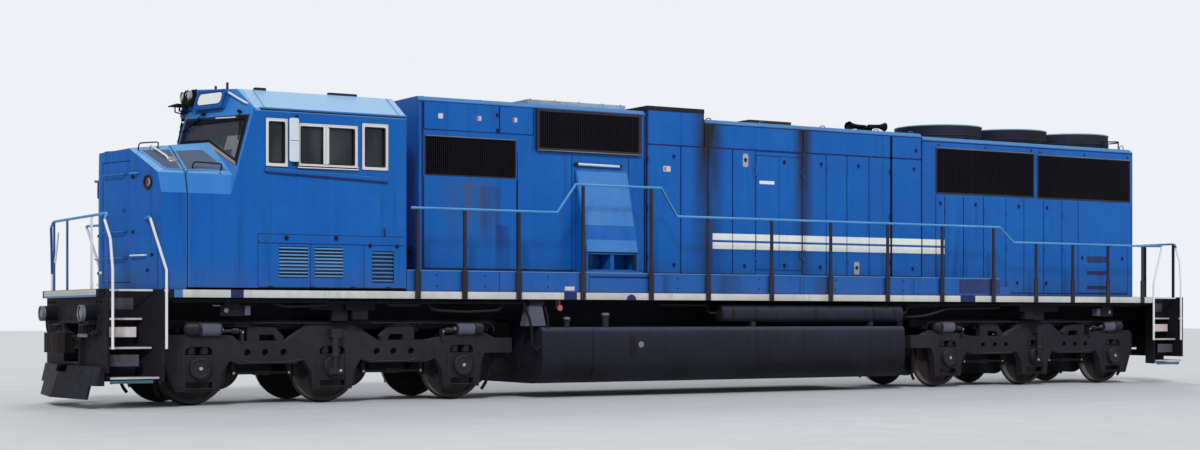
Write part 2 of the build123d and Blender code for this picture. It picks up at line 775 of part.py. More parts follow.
def nose_hinge():
    """Hinges behind the outer edge of the nose door, which swings inwards."""
    length = (1 + nose_sweep ** 2) ** 0.5
    along = (-nose_sweep / length, 1 / length)
    towards = (-1 / length, -nose_sweep / length)
    depth = nose_wall / length + hinge_stand
    x = facet_x(nose_door_y0) + depth / length
    y = nose_door_y0 + depth * nose_sweep / length
    heights = (nose_door_low + 300, nose_door_top - 300)
    return hinges(x, y, along, towards, heights, depth - leaf_back, hinge_stand)


def nose_door():
    """Door leaf in the nose's left facet."""
    leaf = facet_slab(nose_door_y0 + door_gap, nose_door_y1 - door_gap,
                      nose_door_low + door_gap, nose_door_top - door_gap, 5, leaf_back)
    return leaf + nose_hinge()[0]


def cab_shell():
    """The isolated cab as one shell, before it is parted into its panels."""
    x0 = nose_seam_x + nose_seam_gap
    lower = nose_loft(x0, windshield_x + 700, 0, cab_base)
    upper = behind_windshield(cross_profile(cab_section(0), x0, cab_rear_x), 0)
    lower_in = nose_loft(x0 - 10, windshield_x + 700, nose_wall, cab_base)
    upper_in = behind_windshield(cross_profile(cab_section(cab_wall), x0 - 10, cab_rear_x - cab_wall), cab_wall)
    room = block(x0 - 20, cab_step_x, -cab_half_width, cab_half_width, cab_base + vestibule_floor, 5000)
    room = room + block(cab_step_x, cab_rear_x, -cab_half_width, cab_half_width, cab_floor_top, 5000)
    shell = (lower + upper) - (lower_in & room) - (upper_in & room)
    for side in (-1, 1):
        y0, y1 = sorted((side * (cab_half_width - 200), side * (cab_half_width + 100)))
        for front, rear, sill, top in side_windows:
            shell = shell - block(front, rear, y0, y1, sill, top)
        outline = [(side * y, z) for y, z in windshield_outline]
        shell = shell - cross_profile(outline, -9250, -8150)
    shell = shell - block(-6300, -5900, rear_door_y0, rear_door_y1, rear_door_low, rear_door_top)
    shell = shell - block(-6300, -5900, 1020, 1380, 3300, 3850)
    return shell + rear_hinge()[1]


def rear_hinge():
    """Hinges at the inner edge of the cab's rear door, on the wall's outer face."""
    x = cab_rear_x + hinge_stand
    heights = (rear_door_low + 300, rear_door_top - 300)
    return hinges(x, rear_door_y1, (0, -1), (-1, 0), heights, hinge_stand + 2, hinge_stand)


# line on a cab side where the side panel meets the front, columns: x, height
side_seam = [(-8300, cab_base - 10), (-8300, 2400), (-8680, 2960), (-8680, 3240), (-8280, 4250)]


# louvred vents low in a cab side, columns: front x, rear x, low, high, slats
louvres = [
    (-7987.0, -7548.0, 1795.0, 2245.0, 10),
    (-7440.0, -7007.0, 1800.0, 2240.0, 10),
    (-6551.0, -6200.0, 1737.0, 2200.0, 8),
]
louvre_depth = 30.0
# ledge under the side windows, columns: x, low edge
ledge = [(-8200.0, 3300.0), (-6310.0, 3222.0)]
ledge_height = 40.0
ledge_proud = 26.0


def side_trim(panel, side):
    """Adds a cab side's vents, the ledge under its windows and its raised line."""
    face = cab_half_width
    for x0, x1, z0, z1, slats in louvres:
        y0, y1 = sorted((side * (face - louvre_depth), side * (face + 1)))
        panel = panel - block(x0, x1, y0, y1, z0, z1)
        pitch = (z1 - z0) / slats
        for count in range(slats):
            z = z0 + pitch * (count + 0.5)
            slat = [(face - 2, z - 16), (face - 2, z - 9), (face - louvre_depth - 1, z + 16),
                    (face - louvre_depth - 1, z + 9)]
            panel = panel + cross_profile([(side * y, height) for y, height in slat], x0, x1)
    (x0, z0), (x1, z1) = ledge
    bar = [(x0, z0), (x1, z1), (x1, z1 + ledge_height), (x0, z0 + ledge_height)]
    y0, y1 = sorted((side * (face - 1), side * (face + ledge_proud)))
    panel = panel + side_profile(bar, y0, y1)
    y0, y1 = sorted((side * (face - 1), side * (face + 10)))
    return panel + block(-8285, cab_rear_x - 20, y0, y1, 2290, 2320)


def cab_panels():
    """The shell parted at its real seams into sides, front, rear, roof and floor."""
    shell = cab_shell()
    far = cab_half_width + 100
    lining = cab_half_width - cab_wall - 1
    roof_cut = [
        (-far, cab_eave - 10), (-far, 4800), (far, 4800), (far, cab_eave - 10),
        (lining, cab_eave - 60), (-lining, cab_eave - 60),
    ]
    roof_zone = cross_profile(roof_cut, -8340, cab_rear_x + 100)
    side_outline = side_seam + [(cab_rear_x + 10, 4250), (cab_rear_x + 10, cab_base - 10)]
    parts = {}
    parts["cab_roof"] = shell & roof_zone
    rest = shell - roof_zone
    for name, y0, y1 in (("cab_left_side", -far, -lining), ("cab_right_side", lining, far)):
        zone = side_profile(side_outline, y0, y1)
        parts[name] = side_trim(rest & zone, -1 if y0 < 0 else 1)
        rest = rest - zone
    floor_zone = block(cab_step_x, cab_rear_x - 80, -lining, lining, cab_base - 10, cab_floor_top + 1)
    parts["cab_floor"] = rest & floor_zone
    rest = rest - floor_zone
    rear_zone = block(cab_rear_x - 80, cab_rear_x + 100, -far, far, cab_base - 10, 4400)
    parts["cab_rear"] = rest & rear_zone
    parts["cab_front"] = rest - rear_zone
    return parts


def window_frames():
    """Pale metal frames round the side windows, proud of the wall."""
    frames = []
    width = 42
    for side in (-1, 1):
        y0, y1 = sorted((side * (cab_half_width + 0.0), side * (cab_half_width + 14)))
        for front, rear, sill, top in side_windows:
            frame = block(front - width, rear + width, y0, y1, sill - width, top + width)
            frame = frame - block(front, rear, y0 - 5, y1 + 5, sill, top)
            if rear - front > 600:
                middle = (front + rear) / 2
                frame = frame + block(middle - 18, middle + 18, y0, y1, sill, top)
            frames.append(frame)
    return frames


def cab_glass():
    """Panes in the cab's openings, each as thick as sealed glazing."""
    panes = []
    for side in (-1, 1):
        y0, y1 = sorted((side * (cab_half_width - 55), side * (cab_half_width - 35)))
        for front, rear, sill, top in side_windows:
            panes.append(block(front, rear, y0, y1, sill, top))
        outline = [(side * y, z) for y, z in windshield_outline]
        pane = cross_profile(outline, -9250, -8150)
        pane = behind_windshield(pane, 25)
        pane = pane - behind_windshield(pane, 45)
        panes.append(pane)
    panes.append(block(-6050, -6030, 1020, 1380, 3300, 3850))
    return panes


def rear_door():
    """Cab door beside the hood, with its own window."""
    body = block(-6035, -6002, rear_door_y0 + door_gap, rear_door_y1 - door_gap,
                 rear_door_low + door_gap, rear_door_top - door_gap)
    body = body - block(-6100, -5900, rear_door_y0 + 90, rear_door_y1 - 90, 3250, 3780)
    pane = block(-6026, -6010, rear_door_y0 + 90, rear_door_y1 - 90, 3250, 3780)
    return body + pane + rear_hinge()[0]


def crew_seats():
    """Two pedestal seats."""
    seats = []
    for side in (-1, 1):
        y = side * 850
        seat = rod((-7150, y, cab_floor_top), (-7150, y, 2360), 60)
        seat = seat + block(-7400, -6900, y - 240, y + 240, 2350, 2470)
        seat = seat + block(-6960, -6860, y - 230, y + 230, 2470, 3150)
        seats.append(seat)
    return seats


def control_desks():
    """Desk consoles under the windshields."""
    outline = [(-8420, cab_floor_top), (-8420, 2900), (-8150, 2980), (-7850, 2760), (-7850, 2680), (-8100, 2600),
               (-8100, cab_floor_top)]
    right = side_profile(outline, 250, 1350)
    left = side_profile(outline, -1350, -350)
    return [left, right]


# Hoods
hood_front_x = -5530.0
hood_step_x = -1470.0
engine_rear_x = 4400.0
hood_rear_x = 9700.0
front_hood_roof = 4590.0
radiator_roof = 4475.0
hood_bevel = 70.0
brake_hatch_rise = 90.0


def hood_outline(half, base, top):
    """Hood cross-section with bevelled roof edges."""
    return [
        (-half, base), (-half, top - hood_bevel), (-half + hood_bevel, top),
        (half - hood_bevel, top), (half, top - hood_bevel), (half, base),
    ]


# recesses and grilles on each side, columns: front x, rear x, low, high, slots, proud of the wall
grille_table = [
    (-5440.0, -3860.0, 3390.0, 4000.0, 22, 0.0),
    (-3520.0, -1590.0, 3850.0, 4510.0, 24, 60.0),
    (4710.0, 7110.0, 3460.0, 4290.0, 30, 0.0),
    (7190.0, 9630.0, 3450.0, 4270.0, 30, 0.0),
]
grille_depth = 60.0


def side_grilles():
    """Framed grilles of upright bars, two pairs on the front hood and two at the radiators."""
    grilles = []
    for x0, x1, z0, z1, slots, proud in grille_table:
        width = x1 - x0
        height = z1 - z0
        pitch = (width - 60) / slots
        slot = Rectangle(pitch * 0.55, height - 90)
        face = Rectangle(width, height) - GridLocations(pitch, 1, slots, 1) * slot
        body = extrude(face, amount=grille_depth)
        y = -hood_half_width - proud
        plane = Plane(origin=((x0 + x1) / 2, y, up((z0 + z1) / 2)), x_dir=(1, 0, 0), z_dir=(0, 1, 0))
        grilles += both_sides(plane * body)
    return grilles


def cut_recesses(hood, table):
    """Cuts a pocket behind each grille in a hood."""
    for x0, x1, z0, z1, slots, proud in table:
        depth = grille_depth + 120 - proud
        for side in (-1, 1):
            y0, y1 = sorted((side * (hood_half_width - depth), side * (hood_half_width + 10)))
            inset = 25 if proud else 0
            hood = hood - block(x0 + inset, x1 - inset, y0, y1, z0 + inset, z1 - inset)
    return hood


def hood_front():
    """Electrical and dynamic-brake section behind the cab."""
    section = hood_outline(hood_half_width, deck_top, front_hood_roof)
    body = cross_profile(section, hood_front_x, hood_step_x)
    hatch = block(-3520, -1700, -700, 700, front_hood_roof, front_hood_roof + brake_hatch_rise)
    body = body + hatch
    body = cut_recesses(body, grille_table[:2])
    # blower duct on each side: a wedge whose outer face leans out downwards
    wedge = cross_profile([(-900, 3600), (-960, 3600), (-1300, 2250), (-1300, 1940), (-900, 1940)], -2800, -1820)
    notch = block(-2760, -1860, -1310, -960, 1990, 2230)
    wedge = wedge - notch
    wedge = wedge + block(-2340, -2280, -1290, -940, 1940, 2250)
    for duct in both_sides(wedge):
        body = body + duct
    return body


# hinged leaves in the engine hood's walls, columns: hinge x, free x
hood_leaves = [(734.0, 1217.0), (1710.0, 1227.0)]
leaf_low = 2040.0
leaf_top = 3960.0
wall_low = deck_top
leaf_proud = 2.0
raised_box_top = 4600.0
raised_box_cap = 80.0


def hood_hinge(side, hinge_x, free_x):
    """Hinges of one hood leaf, on the wall's outer face."""
    along = (1 if free_x > hinge_x else -1, 0)
    y = side * (hood_half_width + leaf_proud + hinge_stand)
    heights = (leaf_low + 250, leaf_top - 250)
    return hinges(hinge_x, y, along, (0, -side), heights, hinge_stand, hinge_stand + leaf_proud)


def engine_wall(side):
    """One side wall of the engine hood, with the doorway of its double door."""
    y0, y1 = sorted((side * hood_half_width, side * (hood_half_width - sheet)))
    wall = block(hood_step_x, engine_rear_x, y0, y1, wall_low, hood_roof - hood_bevel - 30)
    x0 = hood_leaves[0][0]
    x1 = hood_leaves[1][0]
    wall = wall - block(x0, x1, y0 - 5, y1 + 5, leaf_low - door_gap, leaf_top + door_gap)
    for hinge_x, free_x in hood_leaves:
        wall = wall + hood_hinge(side, hinge_x, free_x)[1]
    return wall


def hood_leaf(side, hinge_x, free_x):
    """One hood door leaf, flush with the wall."""
    gap = door_gap if free_x > hinge_x else -door_gap
    x0, x1 = sorted((hinge_x + gap, free_x))
    y0, y1 = sorted((side * (hood_half_width + leaf_proud), side * (hood_half_width - 30)))
    leaf = block(x0, x1, y0, y1, leaf_low, leaf_top)
    return leaf + hood_hinge(side, hinge_x, free_x)[0]


def engine_roof():
    """Roof of the engine hood with its raised box."""
    half = hood_half_width
    outline = [
        (-half, hood_roof - hood_bevel - 30), (-half, hood_roof - hood_bevel), (-half + hood_bevel, hood_roof),
        (half - hood_bevel, hood_roof), (half, hood_roof - hood_bevel), (half, hood_roof - hood_bevel - 30),
    ]
    roof = cross_profile(outline, hood_step_x, engine_rear_x)
    roof = roof + block(-1410, -320, -half, half, outline[0][1], raised_box_top)
    return roof + block(-1425, -305, -half + 12, half - 12, raised_box_top, raised_box_top + raised_box_cap)


def radiator_hood():
    """Rear hood with the radiators behind its grilles."""
    section = hood_outline(hood_half_width, deck_top, radiator_roof)
    body = cross_profile(section, engine_rear_x, hood_rear_x)
    # air slots low in each side, columns: low, high
    for z0, z1 in ((2277, 2399), (2040, 2085), (1780, 1825)):
        for side in (-1, 1):
            y0, y1 = sorted((side * (hood_half_width - 40), side * (hood_half_width + 1)))
            body = body - block(8495, 9228, y0, y1, z0, z1)
    return cut_recesses(body, grille_table[2:])


# Roof equipment
fan_places = (5600.0, 7240.0, 8880.0)
fan_housing_radius = 800.0
fan_housing_wall = 30.0
fan_housing_top = 4740.0
fan_radius = 735.0
fan_blades = 8
fan_hub_radius = 170.0
running_gap = 0.5


def fan_housing(x):
    """Low round housing with a spoked guard on top and the fan's motor inside."""
    height = fan_housing_top - radiator_roof
    ring = Cylinder(fan_housing_radius, height) - Cylinder(fan_housing_radius - fan_housing_wall, height + 2)
    ring = Pos(x, 0, up(radiator_roof + height / 2)) * ring
    guard_z = fan_housing_top - 15
    for angle in range(0, 180, 30):
        spoke = Pos(x, 0, up(guard_z)) * Rot(0, 0, angle) * Box(2 * fan_housing_radius - 40, 26, 24)
        ring = ring + spoke
    for radius in (300, 540):
        hoop = Cylinder(radius + 13, 24) - Cylinder(radius - 13, 30)
        ring = ring + Pos(x, 0, up(guard_z)) * hoop
    motor = rod((x, 0, radiator_roof), (x, 0, radiator_roof + 60), 150)
    return [ring, motor]


def fan_rotor(x):
    """Hub with pitched blades."""
    z0 = radiator_roof + 60 + running_gap
    hub = rod((x, 0, z0), (x, 0, z0 + 120), fan_hub_radius)
    for count in range(fan_blades):
        blade = Box(fan_radius - fan_hub_radius + 20, 210, 14)
        blade = Rot(28, 0, 0) * blade
        blade = Pos((fan_radius + fan_hub_radius - 20) / 2, 0, 0) * blade
        blade = Rot(0, 0, count * 360 / fan_blades) * blade
        hub = hub + Pos(x, 0, up(z0 + 60)) * blade
    return hub


def exhaust_stack():
    """Flat rectangular exhaust outlet."""
    body = block(1150, 2050, -190, 190, hood_roof, hood_roof + 140)
    return body - block(1180, 2020, -160, 160, hood_roof + 60, hood_roof + 150)


# horn bells, columns: offset along x, offset along y, direction
horn_bells = [(0.0, 0.0, -1), (60.0, 130.0, -1), (-60.0, -130.0, 1)]


def air_horn():
    """Cluster of three horns on a manifold."""
    x, y, z = 3600.0, -350.0, hood_roof
    body = block(x - 60, x + 60, y - 190, y + 190, z, z + 110)
    for dx, dy, direction in horn_bells:
        start = x + dx
        bell = Plane(origin=(start, y + dy, up(z + 130)), z_dir=(direction, 0, 0))
        cone = Pos(0, 0, 190) * Cone(28, 75, 380)
        body = body + bell * cone
    return body


# Lamps and number boards
headlight_half = 200.0
headlight_low = 4320.0
headlight_top = 4550.0
# corners of a front number board, columns: distance from the centre line, height
front_board = [(262.0, 4235.0), (868.0, 4235.0), (868.0, 4480.0), (262.0, 4500.0)]


def headlights():
    """Twin headlights at both ends and two lower lamps on the front pilot."""
    lamps = []
    front = block(windshield_x - 110, windshield_x + 120, -headlight_half, headlight_half,
                  headlight_low, headlight_top)
    lamps.append(behind_windshield(front, -120) - behind_windshield(front, 0))
    rear = block(hood_rear_x, hood_rear_x + 90, -290, 290, 4120, 4400)
    for y in (-140, 140):
        rear = rear - rod((hood_rear_x + 40, y, 4260), (hood_rear_x + 100, y, 4260), 105)
    lamps.append(rear)
    for y in (-1030, 1030):
        can = rod((-frame_end - 220, y, 1290), (-frame_end, y, 1290), 110)
        can = can - rod((-frame_end - 230, y, 1290), (-frame_end - 190, y, 1290), 92)
        lamps.append(can)
    return lamps


def number_boards():
    """Blank number boards beside the headlights, in boxes on the cab's front."""
    boards = []
    for side in (-1, 1):
        outline = [(side * y, z) for y, z in front_board]
        solid = cross_profile(outline, -9300, -8000)
        slab = behind_windshield(solid, -90) - behind_windshield(solid, 0)
        boards.append(slab)
        y0, y1 = sorted((side * (hood_half_width - 530), side * (hood_half_width - 70)))
        boards.append(block(hood_rear_x, hood_rear_x + 60, y0, y1, 4110, 4360))
    return boards


# Handrails
rail_radius = 19.0
rail_y = frame_half_width + rail_radius
rail_high = 2850.0
rail_over_duct = 3295.0
rail_rear = 2585.0
stanchion_width = 50.0
stanchion_foot = 86.0
# the side rail's run, columns: x, height
side_rail = [
    (-5945.0, rail_high), (-3460.0, rail_high), (-3130.0, rail_over_duct), (-1550.0, rail_over_duct),
    (-1245.0, rail_high), (5700.0, rail_high), (6035.0, rail_rear), (9340.0, rail_rear),
]
# x of the posts of one side
side_posts = (-5830.0, -5055.0, -4130.0, -2995.0, -1735.0, -635.0, 635.0, 1870.0,
              3110.0, 4345.0, 5555.0, 6595.0, 7515.0, 8425.0, 9340.0)


def rail_height(x):
    """Height of the side rail at an x."""
    for (xa, za), (xb, zb) in zip(side_rail, side_rail[1:]):
        if xa <= x <= xb:
            return za + (zb - za) * (x - xa) / (xb - xa)
    return rail_rear


def side_handrail():
    """Pipe rail on flat posts that are bolted to the sill's outer face."""
    y = -rail_y
    body = pipe([(x, y, z) for x, z in side_rail], rail_radius)
    for x in side_posts:
        top = rail_height(x)
        half = stanchion_width / 2
        body = body + block(x - half, x + half, y - 8, -frame_half_width, sill_low, top)
        half = stanchion_foot / 2
        body = body + block(x - half, x + half, y - 8, -frame_half_width, sill_low, walk_top)
    return body


def end_rails(end):
    """End railing over the pilot and the two grab posts of each step well."""
    rails = []
    x = end * (frame_end - 55)
    top = 2650.0
    post_y = (-frame_half_width + 194, -620.0, 620.0, frame_half_width - 194)
    body = pipe([(x, post_y[0], top), (x, post_y[-1], top)], rail_radius)
    for y in post_y:
        body = body + block(x - 10, x + 10, y - 28, y + 28, deck_top, top)
    rails.append(body)
    well = end * (well_inner - 25)
    for side in (-1, 1):
        y = side * (frame_half_width + rail_radius)
        front = [
            (end * (frame_end - 20), side * (frame_half_width - 154), 2560),
            (end * (frame_end - 60), side * (frame_half_width - 24), 2300),
            (end * (frame_end - 80), y, 1880), (end * (frame_end - 80), y, step_heights[1] - 30),
        ]
        rear = [(well + end * 230, y, 2590), (well, y, 1880), (well, y, step_heights[1] - 30)]
        # a clip holds the front post to the end plate and the rear post to the sill
        plate_x = sorted((end * (frame_end - 105), end * (frame_end - 40)))
        plate_y = sorted((y, side * (frame_half_width - 16)))
        clip = block(plate_x[0], plate_x[1], plate_y[0], plate_y[1], step_heights[0] - 30, step_heights[0] - 5)
        rails.append(pipe(front, rail_radius) + clip)
        foot = sorted((y, side * frame_half_width))
        clip = block(well - 25, well + 25, foot[0], foot[1], deck_top - 30, deck_top - 5)
        rails.append(pipe(rear, rail_radius) + clip)
    return rails


def engine():
    """Engine and alternator as one plain mass."""
    return block(-1100, 4000, -640, 640, deck_top, 3750)


# Assembly
for number, x in enumerate([x for end in (-1, 1) for x in sorted(axle_places(end))], start=1):
    node("wheelset_%d" % number, wheelset(x))

front_frame = truck_frame(-1)
node("front_truck_frame", front_frame)
node("rear_truck_frame", mirror(front_frame, about=Plane.YZ))
front_plate = pilot(-1)
node("front_pilot", front_plate, coupler_carrier(-1))
node("rear_pilot", mirror(front_plate, about=Plane.YZ), coupler_carrier(1))
for end, prefix in ((-1, "front"), (1, "rear")):
    node(prefix + "_axle_boxes", *axle_boxes(end))
    node(prefix + "_traction_motors", *traction_motors(end))
    node(prefix + "_coupler", coupler(end))

node("underframe", underframe())
node("fuel_tank", fuel_tank())
node("air_reservoirs", *air_reservoirs())
node("snow_plow", snow_plow())
node("walkways", *walkways())
node("nose", nose())
node("nose_door", nose_door())
for name, shape in cab_panels().items():
    node(name, shape)
node("window_frames", *window_frames())
node("cab_glass", *cab_glass())
node("cab_rear_door", rear_door())
node("crew_seats", *crew_seats())
node("control_desks", *control_desks())
node("hood_front", hood_front())
node("side_grilles", *side_grilles())
node("engine_hood_left", engine_wall(-1))
node("engine_hood_right", engine_wall(1))
node("engine_hood_roof", engine_roof())
for side, word in ((-1, "left"), (1, "right")):
    for (hinge_x, free_x), place in zip(hood_leaves, ("front", "rear")):
        node("hood_door_%s_%s" % (word, place), hood_leaf(side, hinge_x, free_x))
node("radiator_hood", radiator_hood())
node("fan_housings", *[solid for x in fan_places for solid in fan_housing(x)])
for number, x in enumerate(fan_places, start=1):
    node("radiator_fan_%d" % number, fan_rotor(x))
node("exhaust_stack", exhaust_stack())
node("air_horn", air_horn())
node("headlights", *headlights())
node("number_boards", *number_boards())
node("side_handrails", *both_sides(side_handrail()))
node("end_handrails", *end_rails(-1), *end_rails(1))
node("engine", engine())

os.makedirs("parts", exist_ok=True)
for name, solids in nodes.items():
    shape = solids[0] if len(solids) == 1 else Compound(children=solids)
    export_step(shape, "parts/%s.step" % name)
    print(name, len(solids), "solids")
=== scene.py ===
import math

import bmesh
import bpy
from mathutils import Matrix, Vector


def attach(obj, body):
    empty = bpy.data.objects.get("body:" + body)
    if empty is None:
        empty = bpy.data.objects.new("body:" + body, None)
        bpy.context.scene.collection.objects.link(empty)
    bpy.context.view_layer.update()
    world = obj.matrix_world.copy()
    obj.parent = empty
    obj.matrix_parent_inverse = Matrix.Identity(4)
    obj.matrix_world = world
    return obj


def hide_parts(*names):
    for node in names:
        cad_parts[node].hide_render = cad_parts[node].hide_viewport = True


# Looks of a six-axle diesel-electric locomotive. Metres, front towards -X, left side towards -Y.
# Heights in the tables are counted above the rail's top, which lies RAIL_TOP above the origin.

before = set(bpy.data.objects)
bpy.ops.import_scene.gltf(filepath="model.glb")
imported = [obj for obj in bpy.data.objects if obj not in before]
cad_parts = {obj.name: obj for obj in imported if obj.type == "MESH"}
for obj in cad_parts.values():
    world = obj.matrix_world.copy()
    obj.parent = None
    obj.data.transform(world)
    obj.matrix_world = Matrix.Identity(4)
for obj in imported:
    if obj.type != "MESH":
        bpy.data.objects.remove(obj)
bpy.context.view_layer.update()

RAIL_TOP = 0.025
HOOD_Y = 0.95
CAB_Y = 1.5
SILL_Y = 1.524
DUCT_Y = 1.5
TANK_Y = 1.49
DECK = 1.62
SILL_LOW = 1.505
DUCT_TOP = 1.93
NOSE_RIDGE_X = -10.115
NOSE_SWEEP = 0.279
SEAM_X = -9.345
SHIELD_X = -8.87
SHIELD_Z = 4.08
SHIELD_SWEEP = 0.324
SHIELD_RAKE = 0.279
END_X = 10.46
TRUCK_X = 6.947
AXLES = (2.07, 0.048, -2.07)
AXLE_Z = 0.508
HOOD_REAR_X = 9.7
FAN_X = (5.6, 7.24, 8.88)
ENDS = ((-1, "front"), (1, "rear"))


# Places on the object's faces: each function gives the point at a distance outside a face

def left(y):
    """Upright face on the left side, by x and height."""
    return lambda x, z, out: (x, -y - out, z)


def forward(x):
    """Face towards the front, by y and height."""
    return lambda y, z, out: (x - out, y, z)


def backward(x):
    """Face towards the rear, by y and height."""
    return lambda y, z, out: (x + out, y, z)


def upward(z):
    """Level face, by x and y."""
    return lambda x, y, out: (x, y, z + out)


def on_nose(y, z, out):
    """Left front facet of the nose."""
    length = math.hypot(1, NOSE_SWEEP)
    return (NOSE_RIDGE_X - NOSE_SWEEP * y - out / length, y - out * NOSE_SWEEP / length, z)


def on_shield(y, z, out):
    """Left windshield facet of the cab."""
    length = math.hypot(1, SHIELD_SWEEP, SHIELD_RAKE)
    x = SHIELD_X - SHIELD_SWEEP * y + SHIELD_RAKE * (z - SHIELD_Z)
    return (x - out / length, y - out * SHIELD_SWEEP / length, z + out * SHIELD_RAKE / length)


def nose_top(x):
    return 3.575 + 0.15 * (x - NOSE_RIDGE_X) / (SHIELD_X - NOSE_RIDGE_X)


def on_nose_top(x, y, out):
    """Flat top of the nose."""
    return (x, y, nose_top(x) + out)


def on_slope(x, share, out):
    """Left top slope of the nose, from the flat top (0) to the shoulder (1)."""
    rise = nose_top(x) - 3.235
    length = math.hypot(0.685, rise)
    return (x, -0.73 - 0.685 * share - out * rise / length, nose_top(x) - rise * share + out * 0.685 / length)


def on_roof_slope(x, share, out):
    """Left slope of the cab's roof, from its top edge (0) to the eave (1)."""
    return (x, -1.0 - 0.5 * share - out * 0.527, 4.5 - 0.31 * share + out * 0.85)


def on_wedge(x, z, out):
    """Leaning outer face of the left blower duct."""
    return (x, -0.96 - 0.34 * (3.6 - z) / 1.35 - out, z)


HOOD = left(HOOD_Y)
CAB = left(CAB_Y)
SILL = left(SILL_Y)
DUCT = left(DUCT_Y)
TANK = left(TANK_Y)


# Mesh building

def arc(centre, radius, start, end, steps):
    """Points of an arc in a plane, angles in degrees."""
    angles = [math.radians(start + (end - start) * i / steps) for i in range(steps + 1)]
    return [(centre[0] + radius * math.cos(a), centre[1] + radius * math.sin(a)) for a in angles]


def round_about(count, start=0.0):
    """Cosine and sine of angles spread evenly round a circle."""
    angles = [start + 2 * math.pi * k / count for k in range(count)]
    return [(math.cos(a), math.sin(a)) for a in angles]


def rect(a0, a1, b0, b1, radius=0.0, steps=3):
    """Outline of a rectangle, with round corners if asked."""
    if not radius:
        return [(a0, b0), (a1, b0), (a1, b1), (a0, b1)]
    outline = []
    for a, b, start in ((a1 - radius, b1 - radius, 0), (a0 + radius, b1 - radius, 90),
                        (a0 + radius, b0 + radius, 180), (a1 - radius, b0 + radius, 270)):
        outline += arc((a, b), radius, start, start + 90, steps)
    return outline


def around(a, b, half_a, half_b, radius=0.0):
    """Outline of a rectangle about its middle."""
    return rect(a - half_a, a + half_a, b - half_b, b + half_b, radius)


def inset(outline, distance):
    """Outline moved inwards by a distance, corner by corner."""
    area = sum(a[0] * b[1] - b[0] * a[1] for a, b in zip(outline, outline[1:] + outline[:1]))
    turn = 1 if area > 0 else -1
    result = []
    for before, corner, after in zip(outline[-1:] + outline[:-1], outline, outline[1:] + outline[:1]):
        d1 = (Vector(corner) - Vector(before)).normalized()
        d2 = (Vector(after) - Vector(corner)).normalized()
        n1 = Vector((-d1.y, d1.x)) * turn
        middle = (n1 + Vector((-d2.y, d2.x)) * turn).normalized()
        result.append(tuple(Vector(corner) + middle * distance / max(0.3, middle.dot(n1))))
    return result


def bent(points, radius, steps=4):
    """Path with its corners rounded off."""
    path = [Vector(p) for p in points]
    result = [path[0]]
    for before, corner, after in zip(path, path[1:], path[2:]):
        reach = min(radius, 0.45 * (before - corner).length, 0.45 * (after - corner).length)
        start = corner + (before - corner).normalized() * reach
        end = corner + (after - corner).normalized() * reach
        for t in [i / steps for i in range(steps + 1)]:
            result.append(start * (1 - t) ** 2 + corner * 2 * t * (1 - t) + end * t ** 2)
    return result + [path[-1]]


def placed(origin, axis):
    """Matrix that takes the upright axis to another axis at an origin."""
    turn = Vector((0, 0, 1)).rotation_difference(Vector(axis))
    return Matrix.Translation(origin) @ turn.to_matrix().to_4x4()


